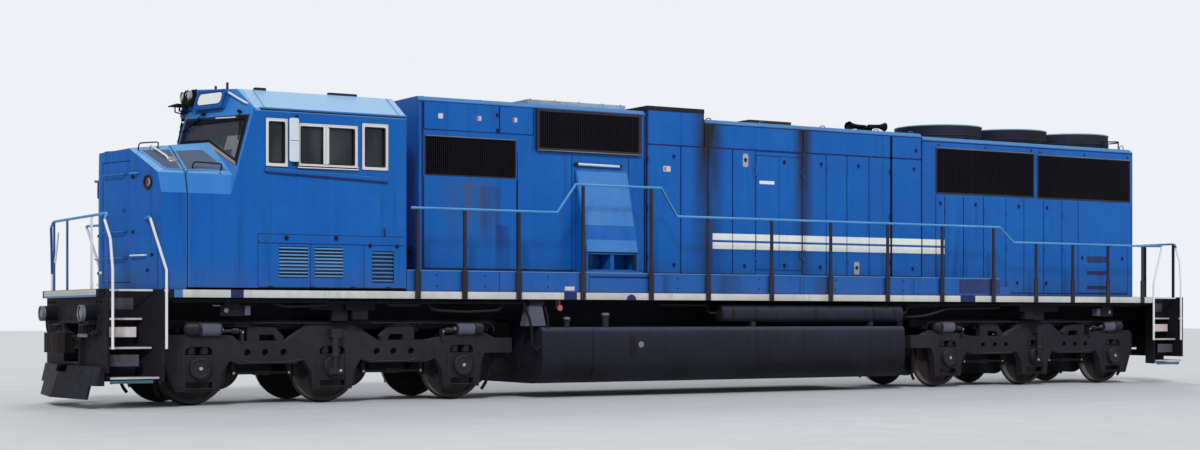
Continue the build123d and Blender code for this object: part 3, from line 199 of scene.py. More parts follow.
class Piece:
    """One mesh object in the making: solids are added one by one, then it is finished."""

    def __init__(self):
        self.bm = bmesh.new()

    def absorb(self, other, matrix=Matrix()):
        """Adds another mesh in the making, moved by a matrix."""
        mesh = bpy.data.meshes.new("part")
        other.to_mesh(mesh)
        other.free()
        mesh.transform(matrix)
        if matrix.determinant() < 0:
            mesh.flip_normals()
        self.bm.from_mesh(mesh)
        bpy.data.meshes.remove(mesh)

    def skin(self, rings, closed=False, matrix=Matrix(), bevel=0.0):
        """Solid through rings of points, of which an end one may be a single point."""
        solid = bmesh.new()
        rings = [[solid.verts.new(p) for p in ring] for ring in rings]
        for a, b in zip(rings, rings[1:] + rings[:1] if closed else rings[1:]):
            for k in range(max(len(a), len(b))):
                m = k + 1
                corners = (a[k % len(a)], a[m % len(a)], b[m % len(b)], b[k % len(b)])
                solid.faces.new(list(dict.fromkeys(corners)))
        for ring in () if closed else (rings[0], rings[-1][::-1]):
            if len(ring) > 1:
                solid.faces.new(ring)
        bmesh.ops.recalc_face_normals(solid, faces=solid.faces)
        if bevel:
            bmesh.ops.bevel(solid, geom=list(solid.edges), offset=bevel, segments=1, affect="EDGES")
        self.absorb(solid, matrix)

    def box(self, x0, x1, y0, y1, z0, z1, bevel=0.004, turn=Matrix()):
        """Box between two corners with chamfered edges, turned about its middle if asked."""
        solid = bmesh.new()
        bmesh.ops.create_cube(solid, size=1.0)
        size = Vector((abs(x1 - x0), abs(y1 - y0), abs(z1 - z0)))
        bmesh.ops.scale(solid, vec=size, verts=solid.verts)
        width = min(bevel, 0.3 * min(size))
        if width > 0.0004:
            bmesh.ops.bevel(solid, geom=list(solid.edges), offset=width, segments=1, affect="EDGES")
        self.absorb(solid, Matrix.Translation(((x0 + x1) / 2, (y0 + y1) / 2, (z0 + z1) / 2)) @ turn)

    def prism(self, outline, spot, low, high, bevel=0.0):
        """Outline on a face, drawn out between two distances from that face."""
        self.skin([[spot(a, b, out) for a, b in outline] for out in (low, high)], bevel=bevel)

    def frame(self, outer, inner, spot, low, high, closed=True):
        """Flat frame between two outlines of as many corners."""
        for i in range(len(outer) - (0 if closed else 1)):
            j = (i + 1) % len(outer)
            self.prism([outer[i], outer[j], inner[j], inner[i]], spot, low, high)

    def plates(self, spot, low, high, sizes):
        """Plates on a face, each from the ranges of its two coordinates and, if asked, a corner radius."""
        for size in sizes:
            self.prism(rect(*size), spot, low, high)

    def rim(self, outline, spot, width, low, high):
        """Frame along the inside of an outline on a face."""
        self.frame(outline, inset(outline, width), spot, low, high)

    def tube(self, points, radius, sides=10, closed=False):
        """Round bar along points, mitred at its bends."""
        path = [Vector(p) for p in points]
        count, normal, rings = len(path), None, []
        for i, spot in enumerate(path):
            ahead = (path[(i + 1) % count] - spot).normalized() if closed or i < count - 1 else None
            behind = (spot - path[i - 1]).normalized() if closed or i else ahead
            ahead = ahead or behind
            tangent = (ahead + behind).normalized()
            if normal is None:
                normal = tangent.cross(Vector((0, 0, 1) if abs(tangent.z) < 0.9 else (1, 0, 0)))
            normal = (normal - tangent * normal.dot(tangent)).normalized()
            other = tangent.cross(normal)
            stretch = 1.0 / max(0.5, ahead.dot(tangent)) - 1
            bend = ahead - behind
            bend = bend.normalized() if bend.length > 0.001 else Vector()
            offsets = [(normal * c + other * s) * radius for c, s in round_about(sides)]
            rings.append([spot + offset + bend * offset.dot(bend) * stretch for offset in offsets])
        self.skin(rings, closed)

    def path(self, points, radius, corner, sides=8, steps=4):
        """Round bar along points with its corners rounded off."""
        self.tube(bent(points, corner, steps), radius, sides)

    def turn(self, profile, origin, axis, sides=24):
        """Solid turned about an axis. profile: (radius, distance along the axis)."""
        rings = [[(radius * c, radius * s, along) for c, s in round_about(sides if radius else 1)]
                 for radius, along in profile]
        self.skin(rings, matrix=placed(origin, axis))

    def rod(self, start, end, radius, sides=14, bevel=0.003):
        """Round bar between two points with chamfered ends."""
        a = Vector(start)
        b = Vector(end)
        length = (b - a).length
        edge = min(bevel, radius * 0.4, length * 0.4)
        self.turn([(radius - edge, 0), (radius, edge), (radius, length - edge), (radius - edge, length)],
                  a, b - a, sides)

    def bolt(self, place, axis, radius=0.014):
        """Hexagon head on a washer."""
        self.turn([(radius * r, radius * h) for r, h in ((1.35, 0), (1.35, 0.25), (1, 0.25), (1, 0.8),
                                                         (0.75, 1), (0, 1))], place, axis, 6)

    def bolts(self, spot, places, radius=0.014):
        """Bolt heads on a face, at pairs of its coordinates."""
        for a, b in places:
            place = Vector(spot(a, b, 0.0))
            self.bolt(place, Vector(spot(a, b, 1.0)) - place, radius)

    def grab(self, spot, ends, stand, radius=0.012):
        """Grab iron on a face: a bar between two ends, on bent legs."""
        (a0, b0), (a1, b1) = ends
        self.path([spot(a0, b0, 0), spot(a0, b0, stand), spot(a1, b1, stand), spot(a1, b1, 0)], radius, 0.04,
                  steps=3)

    def coil(self, origin, radius, wire, length, turns, steps=12):
        """Upright helical spring."""
        points = []
        for i in range(turns * steps + 1):
            angle = 2 * math.pi * i / steps
            rise = wire + (length - 2 * wire) * i / (turns * steps)
            points.append(Vector(origin) + Vector((radius * math.cos(angle), radius * math.sin(angle), rise)))
        self.tube(points, wire, sides=6)

    def flipped(self, x, y):
        """Moves everything to its mirror image where a factor is -1."""
        self.bm.transform(Matrix.Diagonal((x, y, 1, 1)))
        if x * y < 0:
            bmesh.ops.reverse_faces(self.bm, faces=self.bm.faces)
        return self

    def finish(self, name, material, slot, body="carbody", replaced=()):
        """Makes the object, lifts it onto the rail's height and lets it ride on a body."""
        bmesh.ops.translate(self.bm, vec=(0, 0, RAIL_TOP), verts=self.bm.verts)
        mesh = bpy.data.meshes.new(name)
        self.bm.to_mesh(mesh)
        self.bm.free()
        mesh.materials.append(LOOKS[material])
        soften(mesh, 32)
        piece = bpy.data.objects.new(name, mesh)
        bpy.context.scene.collection.objects.link(piece)
        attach(piece, body)
        if replaced:
            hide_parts(*replaced)

    def pair(self, name, material, slot, body="carbody", replaced=()):
        """Finishes the piece together with its mirror image on the right side."""
        self.absorb(self.bm.copy(), Matrix.Diagonal((1, -1, 1, 1)))
        self.finish(name, material, slot, body, replaced)


def soften(mesh, degrees):
    """Smooth shading with sharp edges from an angle."""
    for polygon in mesh.polygons:
        polygon.use_smooth = True
    mesh.set_sharp_from_angle(angle=math.radians(degrees))


def several(count):
    return [Piece() for number in range(count)]


# Materials

class Shade:
    """A material in the making, with short calls for the nodes that it uses."""

    def __init__(self, name):
        self.material = bpy.data.materials.new(name)
        self.material.use_nodes = True
        self.tree = self.material.node_tree
        self.shader = self.tree.nodes["Principled BSDF"]
        self.place = self.node("TexCoord").outputs["Object"]
        self.x, self.y, self.z = self.node("SeparateXYZ", {0: self.place}).outputs

    def feed(self, socket, value):
        """Links a socket, or sets its plain value."""
        if isinstance(value, bpy.types.NodeSocket):
            self.tree.links.new(value, socket)
        else:
            socket.default_value = value

    def node(self, kind, inputs=None, **settings):
        made = self.tree.nodes.new("ShaderNode" + kind)
        for key, value in settings.items():
            setattr(made, key, value)
        for key, value in (inputs or {}).items():
            self.feed(made.inputs[key], value)
        return made

    def noise(self, scale, stretch=(1, 1, 1), detail=5.0, rough=0.55):
        mapped = self.node("Mapping", {"Vector": self.place, "Scale": stretch}).outputs[0]
        return self.node("TexNoise", {"Vector": mapped, "Scale": scale, "Detail": detail,
                                      "Roughness": rough}).outputs["Fac"]

    def ramp(self, value, low, high, start=0.0, end=1.0):
        return self.node("MapRange", {"Value": value, "From Min": low, "From Max": high,
                                      "To Min": start, "To Max": end}).outputs[0]

    def math(self, kind, first, second=0.0, clamp=True):
        return self.node("Math", {0: first, 1: second}, operation=kind, use_clamp=clamp).outputs[0]

    def times(self, result, *values):
        for value in values:
            result = self.math("MULTIPLY", result, value)
        return result

    def away(self, value, middle, full, none):
        """1 within a distance of a coordinate, falling to 0 further out."""
        gap = self.math("ABSOLUTE", self.math("SUBTRACT", value, middle, False), clamp=False)
        return self.ramp(gap, full, none, 1.0, 0.0)

    def mix(self, factor, first, second):
        return self.node("Mix", {0: factor, 6: first, 7: second}, data_type="RGBA").outputs[2]

    def facing_up(self):
        return self.node("SeparateXYZ", {0: self.node("NewGeometry").outputs["Normal"]}).outputs[2]

    def shelter(self, distance, inside=False):
        return self.node("AmbientOcclusion", {"Distance": distance}, samples=4, inside=inside).outputs["AO"]

    def bump(self, value, strength, distance):
        made = self.node("Bump", {"Height": value, "Strength": strength, "Distance": distance})
        self.feed(self.shader.inputs["Normal"], made.outputs[0])

    def done(self, colour, rough, metallic=0.0, **others):
        for key, value in dict(others, Base_Color=colour, Roughness=rough, Metallic=metallic).items():
            self.feed(self.shader.inputs[key.replace("_", " ")], value)
        return self.material


def rgb(red, green, blue):
    """Linear colour from the 0 to 255 values of a screen colour."""
    shares = [value / 255 for value in (red, green, blue)]
    return tuple(s / 12.92 if s <= 0.04045 else ((s + 0.055) / 1.055) ** 2.4 for s in shares) + (1.0,)


def darker(colour, share):
    return tuple(c * share for c in colour[:3]) + (1.0,)


DUST = rgb(122, 116, 112)
# black of soot, also used for the painted shade in corners
SOOT_AND_SHADE = rgb(30, 26, 34)
RUST = rgb(96, 58, 40)
GRIME = rgb(84, 78, 82)
SHADE = rgb(18, 16, 20)
CHIP = rgb(120, 112, 104)


def weathered(name, base, worn, rough, mottle, streaks, up, bump, corner_shade, metallic=0.0, low=None, edges=None,
              grain=60.0, soot=(), stains=(), shine=0.3, dust_and_sky_light_colour=DUST, low_dirt_and_shade=GRIME):
    """Paint or metal that has stood outside: fading, rain streaks, dust on top, which is painted sky light
    where the top colour is a pale blue, darkening towards the bottom, which is thrown-up dirt in GRIME and
    painted shade in SHADE, painted shade in the corners, and worn edges.
    low: height, height, share of the darkening towards the bottom. soot: x, half width, lowest height, share.
    stains: x, half width, low, high, share, colour."""
    s = Shade(name)
    broad = s.noise(0.7, detail=7.0, rough=0.6)
    colour = s.mix(s.ramp(broad, 0.38, 0.68, 0.0, mottle), base, worn)
    fine = s.noise(9.0, detail=6.0, rough=0.65)
    colour = s.mix(s.ramp(fine, 0.45, 0.75, 0.0, mottle * 0.5), colour, darker(base, 0.62))
    runs = s.noise(7.0, (1.0, 1.0, 0.045), detail=6.0, rough=0.7)
    if streaks:
        area = s.noise(0.55, (1.0, 1.0, 0.5), detail=2.0)
        mask = s.times(s.ramp(runs, 0.52, 0.72), s.ramp(area, 0.42, 0.62, 0.15, 1.0), streaks)
        colour = s.mix(mask, colour, darker(base, 0.45))
        pale = s.noise(8.0, (1.0, 1.0, 0.06), detail=4.0, rough=0.6)
        colour = s.mix(s.ramp(pale, 0.56, 0.78, 0.0, streaks * 0.5), colour, worn)
    for x, half, z0, z1, share, tone in stains:
        mask = s.times(s.away(s.x, x, half * 0.35, half), s.ramp(s.z, z0, z0 + 0.6),
                       s.ramp(s.z, z1 - 0.03, z1, 1.0, 0.0), s.ramp(runs, 0.38, 0.58, 0.05, 1.0), share)
        colour = s.mix(mask, colour, tone)
    if soot:
        wobble = s.ramp(s.noise(4.0, (1.0, 1.0, 0.2), detail=5.0), 0.3, 0.6, 0.45, 1.0)
    for x, half, z0, share in soot:
        mask = s.times(s.away(s.x, x, half * 0.25, half), s.ramp(s.z, z0, 4.3, 0.55, 1.0), wobble, share)
        colour = s.mix(mask, colour, SOOT_AND_SHADE)
    # dust on top; where the top colour is a pale blue it is painted sky light on upward faces
    if up:
        lie = s.times(s.ramp(s.facing_up(), 0.25, 0.85), s.ramp(fine, 0.25, 0.6, 0.6, 1.0), up)
        colour = s.mix(lie, colour, dust_and_sky_light_colour)
    # darker towards the bottom: thrown-up dirt in GRIME, painted shade in SHADE
    if low:
        bottom, top, share = low
        dirt_and_shade_below = s.ramp(s.z, bottom + RAIL_TOP, top + RAIL_TOP, 1.0, 0.0)
        colour = s.mix(s.times(dirt_and_shade_below, s.ramp(broad, 0.3, 0.6, 0.35, 1.0), share), colour, low_dirt_and_shade)
    # painted shade: darker in corners, creases and recesses, found by ambient occlusion
    if corner_shade:
        colour = s.mix(s.ramp(s.shelter(0.1), 0.75, 0.25, 0.0, corner_shade), colour, SOOT_AND_SHADE)
    if edges:
        edge_colour, share = edges
        chips = s.ramp(s.noise(26.0, detail=6.0, rough=0.7), 0.46, 0.62)
        mask = s.times(s.ramp(s.shelter(0.012, inside=True), 0.72, 0.45), chips, share)
        colour = s.mix(mask, colour, edge_colour)
    grit = s.noise(grain, detail=4.0, rough=0.6)
    worn_rough = s.ramp(s.math("ADD", s.times(fine, 0.6), s.times(grit, 0.4)), 0.3, 0.7, rough - 0.1,
                        rough + 0.22)
    s.bump(s.math("ADD", s.times(fine, 0.5), s.times(grit, 0.3)), bump, 0.006)
    return s.done(colour, worn_rough, metallic, Specular_IOR_Level=shine)


def glass(name, tint, rough=0.04, alpha=0.6):
    """Tinted, slightly dusty safety glass."""
    s = Shade(name)
    dust = s.noise(3.0, (1.0, 1.0, 0.3), detail=6.0)
    colour = s.mix(s.ramp(dust, 0.45, 0.8, 0.0, 0.35), tint, rgb(104, 110, 116))
    return s.done(colour, s.ramp(dust, 0.35, 0.8, rough, rough + 0.2), Alpha=alpha, Specular_IOR_Level=0.7)


def lamp_glass(name, dark, light):
    """Lens of a lamp, fluted by fine upright ribs, banded dark and light: the light bands are a painted
    reflection of a bright reflector behind.
    """
    s = Shade(name)
    flutes = s.node("TexWave", {"Vector": s.place, "Scale": 28.0}, bands_direction="Y").outputs[1]
    s.bump(flutes, 0.5, 0.004)
    colour = s.mix(s.ramp(flutes, 0.2, 0.9), rgb(dark, dark + 4, dark + 8), rgb(light, light + 3, light + 3))
    return s.done(colour, 0.12, Specular_IOR_Level=0.9)


def cloth(name):
    """Woven seat cloth."""
    s = Shade(name)
    weave = s.node("TexWave", {"Vector": s.place, "Scale": 220.0, "Distortion": 1.5}).outputs[1]
    s.bump(weave, 0.6, 0.001)
    colour = s.mix(s.ramp(s.times(weave, s.noise(6.0)), 0.1, 0.6), rgb(30, 34, 44), rgb(66, 72, 88))
    return s.done(colour, 0.9, Sheen_Weight=0.3)


def floor_paint(name):
    """Plain pale floor."""
    s = Shade(name)
    return s.done(s.mix(s.ramp(s.noise(1.5), 0.3, 0.7), rgb(206, 207, 208), rgb(214, 215, 216)), 0.85)


BLUE = (4, 88, 170)
BLUE_WORN = (24, 108, 190)
SOOT_BANDS = ((-0.24, 0.36, 1.9, 1.0), (1.73, 0.24, 1.9, 0.95), (-1.45, 0.07, 1.9, 0.6), (3.68, 0.05, 1.9, 0.6),
              (-0.78, 0.03, 1.9, 0.35), (4.38, 0.03, 1.9, 0.4))
STRIPE_SOOT = ((-0.24, 0.2, 1.9, 0.3), (1.73, 0.12, 1.9, 0.4))
INTAKE_STAINS = ((-4.72, 0.55, 2.3, 3.36, 0.75, rgb(70, 82, 110)),
                 (-4.32, 0.22, 2.2, 3.3, 0.8, rgb(44, 56, 92)),
                 (-4.1, 0.16, 1.9, 2.7, 0.75, rgb(24, 44, 104)), (-0.24, 0.09, 1.9, 4.6, 0.9, SOOT_AND_SHADE),
                 (1.73, 0.05, 1.9, 4.5, 0.8, SOOT_AND_SHADE))
# body paints: dirt low down, and a paler blue on upward faces, which is painted sky light
BODY = dict(low=(1.5, 2.1, 0.35), shine=0.2, dust_and_sky_light_colour=rgb(84, 148, 208))
# paints and metals, columns: name, colour, worn colour, roughness, mottling, streaks, dust and painted sky
# light on top, bump, painted shade in the corners, other values
PAINTS = [
    ("body_blue", BLUE, BLUE_WORN, 0.34, 0.45, 0.75, 0.75, 0.25, 0.6,
     dict(BODY, edges=(CHIP, 0.35), soot=SOOT_BANDS, stains=INTAKE_STAINS)),
    ("sheet_blue", BLUE, BLUE_WORN, 0.34, 0.45, 0.75, 0.75, 0.25, 0.0,
     dict(BODY, soot=SOOT_BANDS, stains=INTAKE_STAINS)),
    # paler blue of the cab's roof and the louvre slats: painted sky light
    ("sky_lit_cab_roof", (96, 150, 200), (140, 180, 216), 0.42, 0.5, 0.3, 0.9, 0.25, 0.6,
     dict(dust_and_sky_light_colour=rgb(150, 190, 224), edges=(CHIP, 0.35))),
    # paler blue for the hood's upward faces: painted sky light, with soot
    ("roof_blue", (24, 100, 178), (60, 128, 190), 0.42, 0.5, 0.3, 0.9, 0.25, 0.6,
     dict(dust_and_sky_light_colour=rgb(92, 146, 196), edges=(CHIP, 0.35),
          soot=((1.6, 1.0, 3.9, 0.6), (-0.24, 0.4, 3.9, 0.9)))),
    ("hatch_grey", (120, 138, 160), (164, 184, 206), 0.55, 0.8, 0.6, 0.6, 0.5, 0.6,
     dict(dust_and_sky_light_colour=rgb(176, 194, 212), edges=(CHIP, 0.5))),
    ("cap_dark", (24, 26, 38), (46, 52, 66), 0.6, 0.6, 0.4, 0.5, 0.4, 0.6,
     dict(dust_and_sky_light_colour=rgb(84, 94, 110), shine=0.15)),
    ("frame_black", (24, 23, 30), (42, 39, 44), 0.6, 0.6, 0.3, 0.35, 0.4, 0.6,
     dict(edges=(RUST, 0.25), shine=0.12)),
    # trucks: darker towards the bottom in SHADE, painted shade
    ("cast_steel", (33, 32, 40), (54, 51, 56), 0.62, 0.7, 0.25, 0.45, 0.6, 0.6,
     dict(low=(0.1, 0.9, 0.5), edges=(rgb(74, 70, 74), 0.35), grain=90.0, low_dirt_and_shade=SHADE, shine=0.15)),
    # tank: a paler top, painted sky light, and darker towards the bottom in SHADE, painted shade
    ("tank_black", (34, 36, 50), (52, 54, 70), 0.45, 0.6, 0.7, 0.6, 0.25, 0.6,
     dict(low=(0.45, 1.05, 1.0), edges=(RUST, 0.2), low_dirt_and_shade=SHADE, dust_and_sky_light_colour=rgb(92, 96, 114), shine=0.12)),
    ("motor_dark", (26, 24, 26), (48, 42, 40), 0.55, 0.7, 0.4, 0.4, 0.4, 0.6),
    ("wheel_brown", (34, 30, 32), (58, 48, 44), 0.6, 0.7, 0.0, 0.3, 0.5, 0.6, dict(grain=80.0)),
    ("tread_steel", (150, 148, 146), (190, 188, 184), 0.28, 0.5, 0.0, 0.0, 0.15, 0.6,
     dict(metallic=0.9, grain=200.0)),
    ("bright_steel", (168, 168, 166), (206, 205, 200), 0.3, 0.5, 0.0, 0.1, 0.2, 0.6, dict(metallic=0.6)),
    ("coupler_rust", (26, 24, 27), (44, 36, 35), 0.7, 0.8, 0.2, 0.4, 0.8, 0.6,
     dict(edges=(rgb(110, 96, 88), 0.4))),
    ("grille_black", (15, 15, 22), (28, 28, 38), 0.6, 0.5, 0.4, 0.3, 0.15, 0.6,
     dict(dust_and_sky_light_colour=rgb(60, 62, 76), shine=0.1)),
    ("joint_navy", (8, 30, 84), (18, 48, 112), 0.7, 0.6, 0.3, 0.2, 0.1, 0.0, dict(soot=SOOT_BANDS)),
    ("seam_black", (14, 18, 38), (28, 34, 62), 0.7, 0.6, 0.3, 0.2, 0.1, 0.0),
    ("rail_blue", (52, 130, 192), (96, 164, 212), 0.4, 0.6, 0.0, 0.55, 0.1, 0.2,
     dict(dust_and_sky_light_colour=rgb(150, 204, 232))),
    ("post_dark", (34, 28, 40), (54, 48, 62), 0.5, 0.6, 0.5, 0.3, 0.2, 0.2, dict(edges=(RUST, 0.4))),
    ("post_blue", (24, 60, 140), (50, 100, 180), 0.45, 0.6, 0.5, 0.3, 0.15, 0.3, dict(edges=(CHIP, 0.4))),
    ("rail_white", (226, 230, 230), (198, 200, 200), 0.45, 0.4, 0.2, 0.1, 0.1, 0.2),
    ("bright_white", (232, 236, 232), (214, 218, 214), 0.45, 0.5, 0.3, 0.2, 0.1, 0.0,
     dict(soot=STRIPE_SOOT)),
    ("stripe_white", (205, 207, 206), (176, 174, 170), 0.5, 0.7, 0.6, 0.2, 0.1, 0.0,
     dict(low=(1.48, 1.6, 0.3), soot=STRIPE_SOOT)),
    ("window_pale", (222, 222, 222), (190, 190, 190), 0.35, 0.4, 0.3, 0.1, 0.08, 0.4, dict(metallic=0.1)),
    ("blade_pale", (204, 216, 224), (182, 196, 206), 0.3, 0.4, 0.4, 0.1, 0.08, 0.2),
    ("aged_tan", (150, 128, 106), (178, 160, 138), 0.6, 0.6, 0.3, 0.2, 0.2, 0.6),
    ("rubber_black", (24, 24, 28), (42, 42, 46), 0.75, 0.5, 0.0, 0.3, 0.2, 0.0),
    ("pad_grey", (72, 82, 108), (100, 112, 136), 0.8, 0.7, 0.0, 0.3, 1.0, 0.6,
     dict(dust_and_sky_light_colour=rgb(112, 128, 156), grain=170.0)),
    ("tread_grey", (66, 74, 78), (96, 106, 108), 0.75, 0.7, 0.0, 0.4, 0.8, 0.6, dict(grain=160.0)),
    ("riser_grey", (62, 58, 70), (94, 90, 100), 0.6, 0.7, 0.5, 0.3, 0.4, 0.6),
    ("plate_navy", (34, 52, 100), (52, 76, 128), 0.55, 0.7, 0.6, 0.3, 0.2, 0.6),
    ("dusty_metal", (118, 122, 128), (150, 152, 154), 0.45, 0.5, 0.3, 0.3, 0.2, 0.6, dict(metallic=0.5)),
    ("cab_grey", (122, 130, 124), (142, 150, 142), 0.5, 0.3, 0.0, 0.1, 0.1, 0.6),
    ("sooty_steel", (36, 33, 33), (66, 52, 44), 0.7, 0.8, 0.4, 0.1, 0.4, 0.6),
    ("board_white", (230, 233, 230), (206, 208, 204), 0.3, 0.3, 0.2, 0.1, 0.03, 0.2),
    ("label_pale", (214, 206, 206), (196, 176, 176), 0.45, 0.8, 0.3, 0.1, 0.05, 0.0),
    ("label_red", (168, 84, 92), (190, 124, 126), 0.45, 0.6, 0.3, 0.1, 0.05, 0.0),
    # paler blue: painted sky light on faces that lean back, also used on blower faces, ledges and edges
    ("faded_blue", (42, 118, 194), (66, 142, 210), 0.34, 0.45, 0.25, 0.75, 0.25, 0.6,
     dict(BODY, edges=(CHIP, 0.3), dust_and_sky_light_colour=rgb(120, 180, 230))),
    ("pad_blue", (20, 32, 84), (40, 54, 106), 0.6, 0.6, 0.4, 0.2, 0.3, 0.6),
    ("teal_grey", (46, 92, 108), (78, 110, 120), 0.6, 0.6, 0.4, 0.3, 0.3, 0.6),
    ("sleeve_grey", (78, 80, 98), (98, 102, 120), 0.55, 0.6, 0.2, 0.5, 0.3, 0.6),
    # paler blue for edges, a painted highlight, brown where worn
    ("worn_and_highlit_edge", (72, 132, 190), (130, 112, 104), 0.5, 0.9, 0.2, 0.3, 0.3, 0.0,
     dict(dust_and_sky_light_colour=rgb(120, 168, 210))),
]
LOOKS = {
    "side_glass": glass("side_glass", rgb(20, 22, 34), alpha=0.8),
    "front_glass": glass("front_glass", rgb(70, 74, 86), alpha=0.32),
    "lamp_glass": lamp_glass("lamp_glass", 150, 226), "ditch_lens": lamp_glass("ditch_lens", 60, 150),
    "class_lens_glint": glass("class_lens_glint", rgb(214, 132, 128), 0.1, 1.0),
    "dark_lens": glass("dark_lens", rgb(46, 22, 28), 0.05, 1.0), "seat_cloth": cloth("seat_cloth"),
}
for name, base, worn, rough, mottle, streaks, up, bump, corner_shade, *others in PAINTS:
    LOOKS[name] = weathered(name, rgb(*base), rgb(*worn), rough, mottle, streaks, up, bump, corner_shade,
                            **(others[0] if others else {}))


# Finish of the CAD nodes

# run of the side rail, columns: x, height
SIDE_RAIL = ((-5.945, 2.85), (-3.46, 2.85), (-3.13, 3.295), (-1.55, 3.295), (-1.245, 2.85), (5.7, 2.85),
             (6.035, 2.585), (9.34, 2.585))


def side_rail_part(place, normal):
    """The rail's pipe, or else its posts."""
    height = SIDE_RAIL[0][1]
    for (xa, za), (xb, zb) in zip(SIDE_RAIL, SIDE_RAIL[1:]):
        if xa <= place.x:
            height = za + (zb - za) * min(1.0, (place.x - xa) / (xb - xa))
    return place.z <= height - 0.024


def end_rail_part(place, normal):
    """White step rails, light blue top rail, blue posts in front and dark ones at the rear."""
    if abs(place.y) > 1.36:
        return 2 if place.y > 0 and place.x < -10.3 and place.z > 1.7 else 0
    if place.z > 2.63:
        return 1
    if place.x > 0:
        return 3
    return 0 if abs(place.y + 0.62) < 0.05 and place.z > 1.95 else 2


def wheel_part(place, normal):
    """Bright tread, or else the rest of the wheelset."""
    from_axle = min(math.hypot(place.x - end * (TRUCK_X + d), place.z - AXLE_Z)
                    for end in (-1, 1) for d in AXLES)
    return abs(place.y) > 0.7 and abs(normal.y) < 0.5 and from_axle > 0.44


def faces_sky(place, normal):
    """Surfaces that lean back a little get a paler blue: painted sky light."""
    return 0.2 < normal.z < 0.95


def roof_part(place, normal):
    """Paler roof blue on the hood's upward faces and bevels, a painted sky light; hatches in their own paint.
    """
    if place.z > 4.592 and -3.53 < place.x < -1.69:
        return 2
    if place.z > 4.59 and -1.5 < place.x < -0.2:
        return 3
    return normal.z > 0.3


def level(place, normal):
    """Walkways and steps."""
    return normal.z > 0.9


def deck(place, normal):
    return normal.z > 0.9 and place.z > 1.6


def windshield(place, normal):
    return place.x < -8.2


# columns: starts of the nodes' names, materials, rule that picks one of them for a face
FINISHES = (
    ("wheelset_", "wheel_brown tread_steel", wheel_part),
    ("front_truck rear_truck front_axle rear_axle", "cast_steel", None),
    ("front_traction rear_traction", "motor_dark", None),
    ("front_pilot rear_pilot", "frame_black tread_grey", level),
    ("front_coupler rear_coupler", "coupler_rust", None), ("underframe", "frame_black tread_grey", deck),
    ("fuel_tank air_reservoirs snow_plow", "tank_black", None), ("walkways", "body_blue tread_grey", level),
    ("cab_floor control_desks", "cab_grey", None), ("cab_glass", "side_glass front_glass", windshield),
    ("cab_roof", "sky_lit_cab_roof", None), ("cab_rear_door hood_door number_boards", "body_blue", None),
    ("cab_ nose", "body_blue faded_blue", faces_sky), ("window_frames", "window_pale", None),
    ("crew_seats", "post_dark", None), ("side_grilles air_horn headlights", "grille_black", None),
    ("engine_hood_roof hood_front radiator_hood", "body_blue roof_blue hatch_grey cap_dark", roof_part),
    ("engine_hood", "body_blue", None), ("fan_housings", "cap_dark", None),
    ("radiator_fan engine", "dusty_metal", None), ("exhaust_stack", "sooty_steel", None),
    ("side_handrails", "rail_blue post_dark", side_rail_part),
    ("end_handrails", "rail_white rail_blue post_blue post_dark", end_rail_part),
)


def dress(node, materials, rule):
    """Gives a CAD node its finished materials."""
    mesh = node.data
    mesh.materials.clear()
    for material in materials.split():
        mesh.materials.append(LOOKS[material])
    lift = Vector((0, 0, RAIL_TOP))
    picks = [int(rule(face.center - lift, face.normal)) if rule else 0 for face in mesh.polygons]
    mesh.polygons.foreach_set("material_index", picks)
    soften(mesh, 30)


for node_name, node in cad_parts.items():
    for starts, materials, rule in FINISHES:
        if node_name.startswith(tuple(starts.split())):
            dress(node, materials, rule)
            break


# Hood sides: panels, seams and latches

SIDES = ((-1, "left"), (1, "right"))
PLATE = 0.004
PANEL = left(HOOD_Y + PLATE)
LOW = 1.965
TOP = 4.035
STRIPES = ((2.521, 2.631), (2.372, 2.483))


def latch(dark, spot, a, b):
    """Turn latch on a face: a dished ring, its square and a short handle."""
    place = Vector(spot(a, b, 0.0))
    dark.turn([(0.032, -0.001), (0.032, 0.004), (0.027, 0.008), (0.022, 0.003), (0, 0.003)], place,
              Vector(spot(a, b, 1.0)) - place, 16)
    dark.prism(around(a, b, 0.008, 0.026), spot, 0.0, 0.02)
    dark.prism(rect(a - 0.005, a + 0.005, b - 0.045, b - 0.026), spot, 0.008, 0.018)


def on_leaf(draw, name, where, material, slot):
    """Makes a detail of a hood door for the left leaf and its mirror image for the right one."""
    for side, word in SIDES:
        piece = Piece()
        draw(piece, left(HOOD_Y + 0.002))
        piece.flipped(1, -side).finish(name % word, material, slot, "hood_leaf_%s_%s" % (word, where))


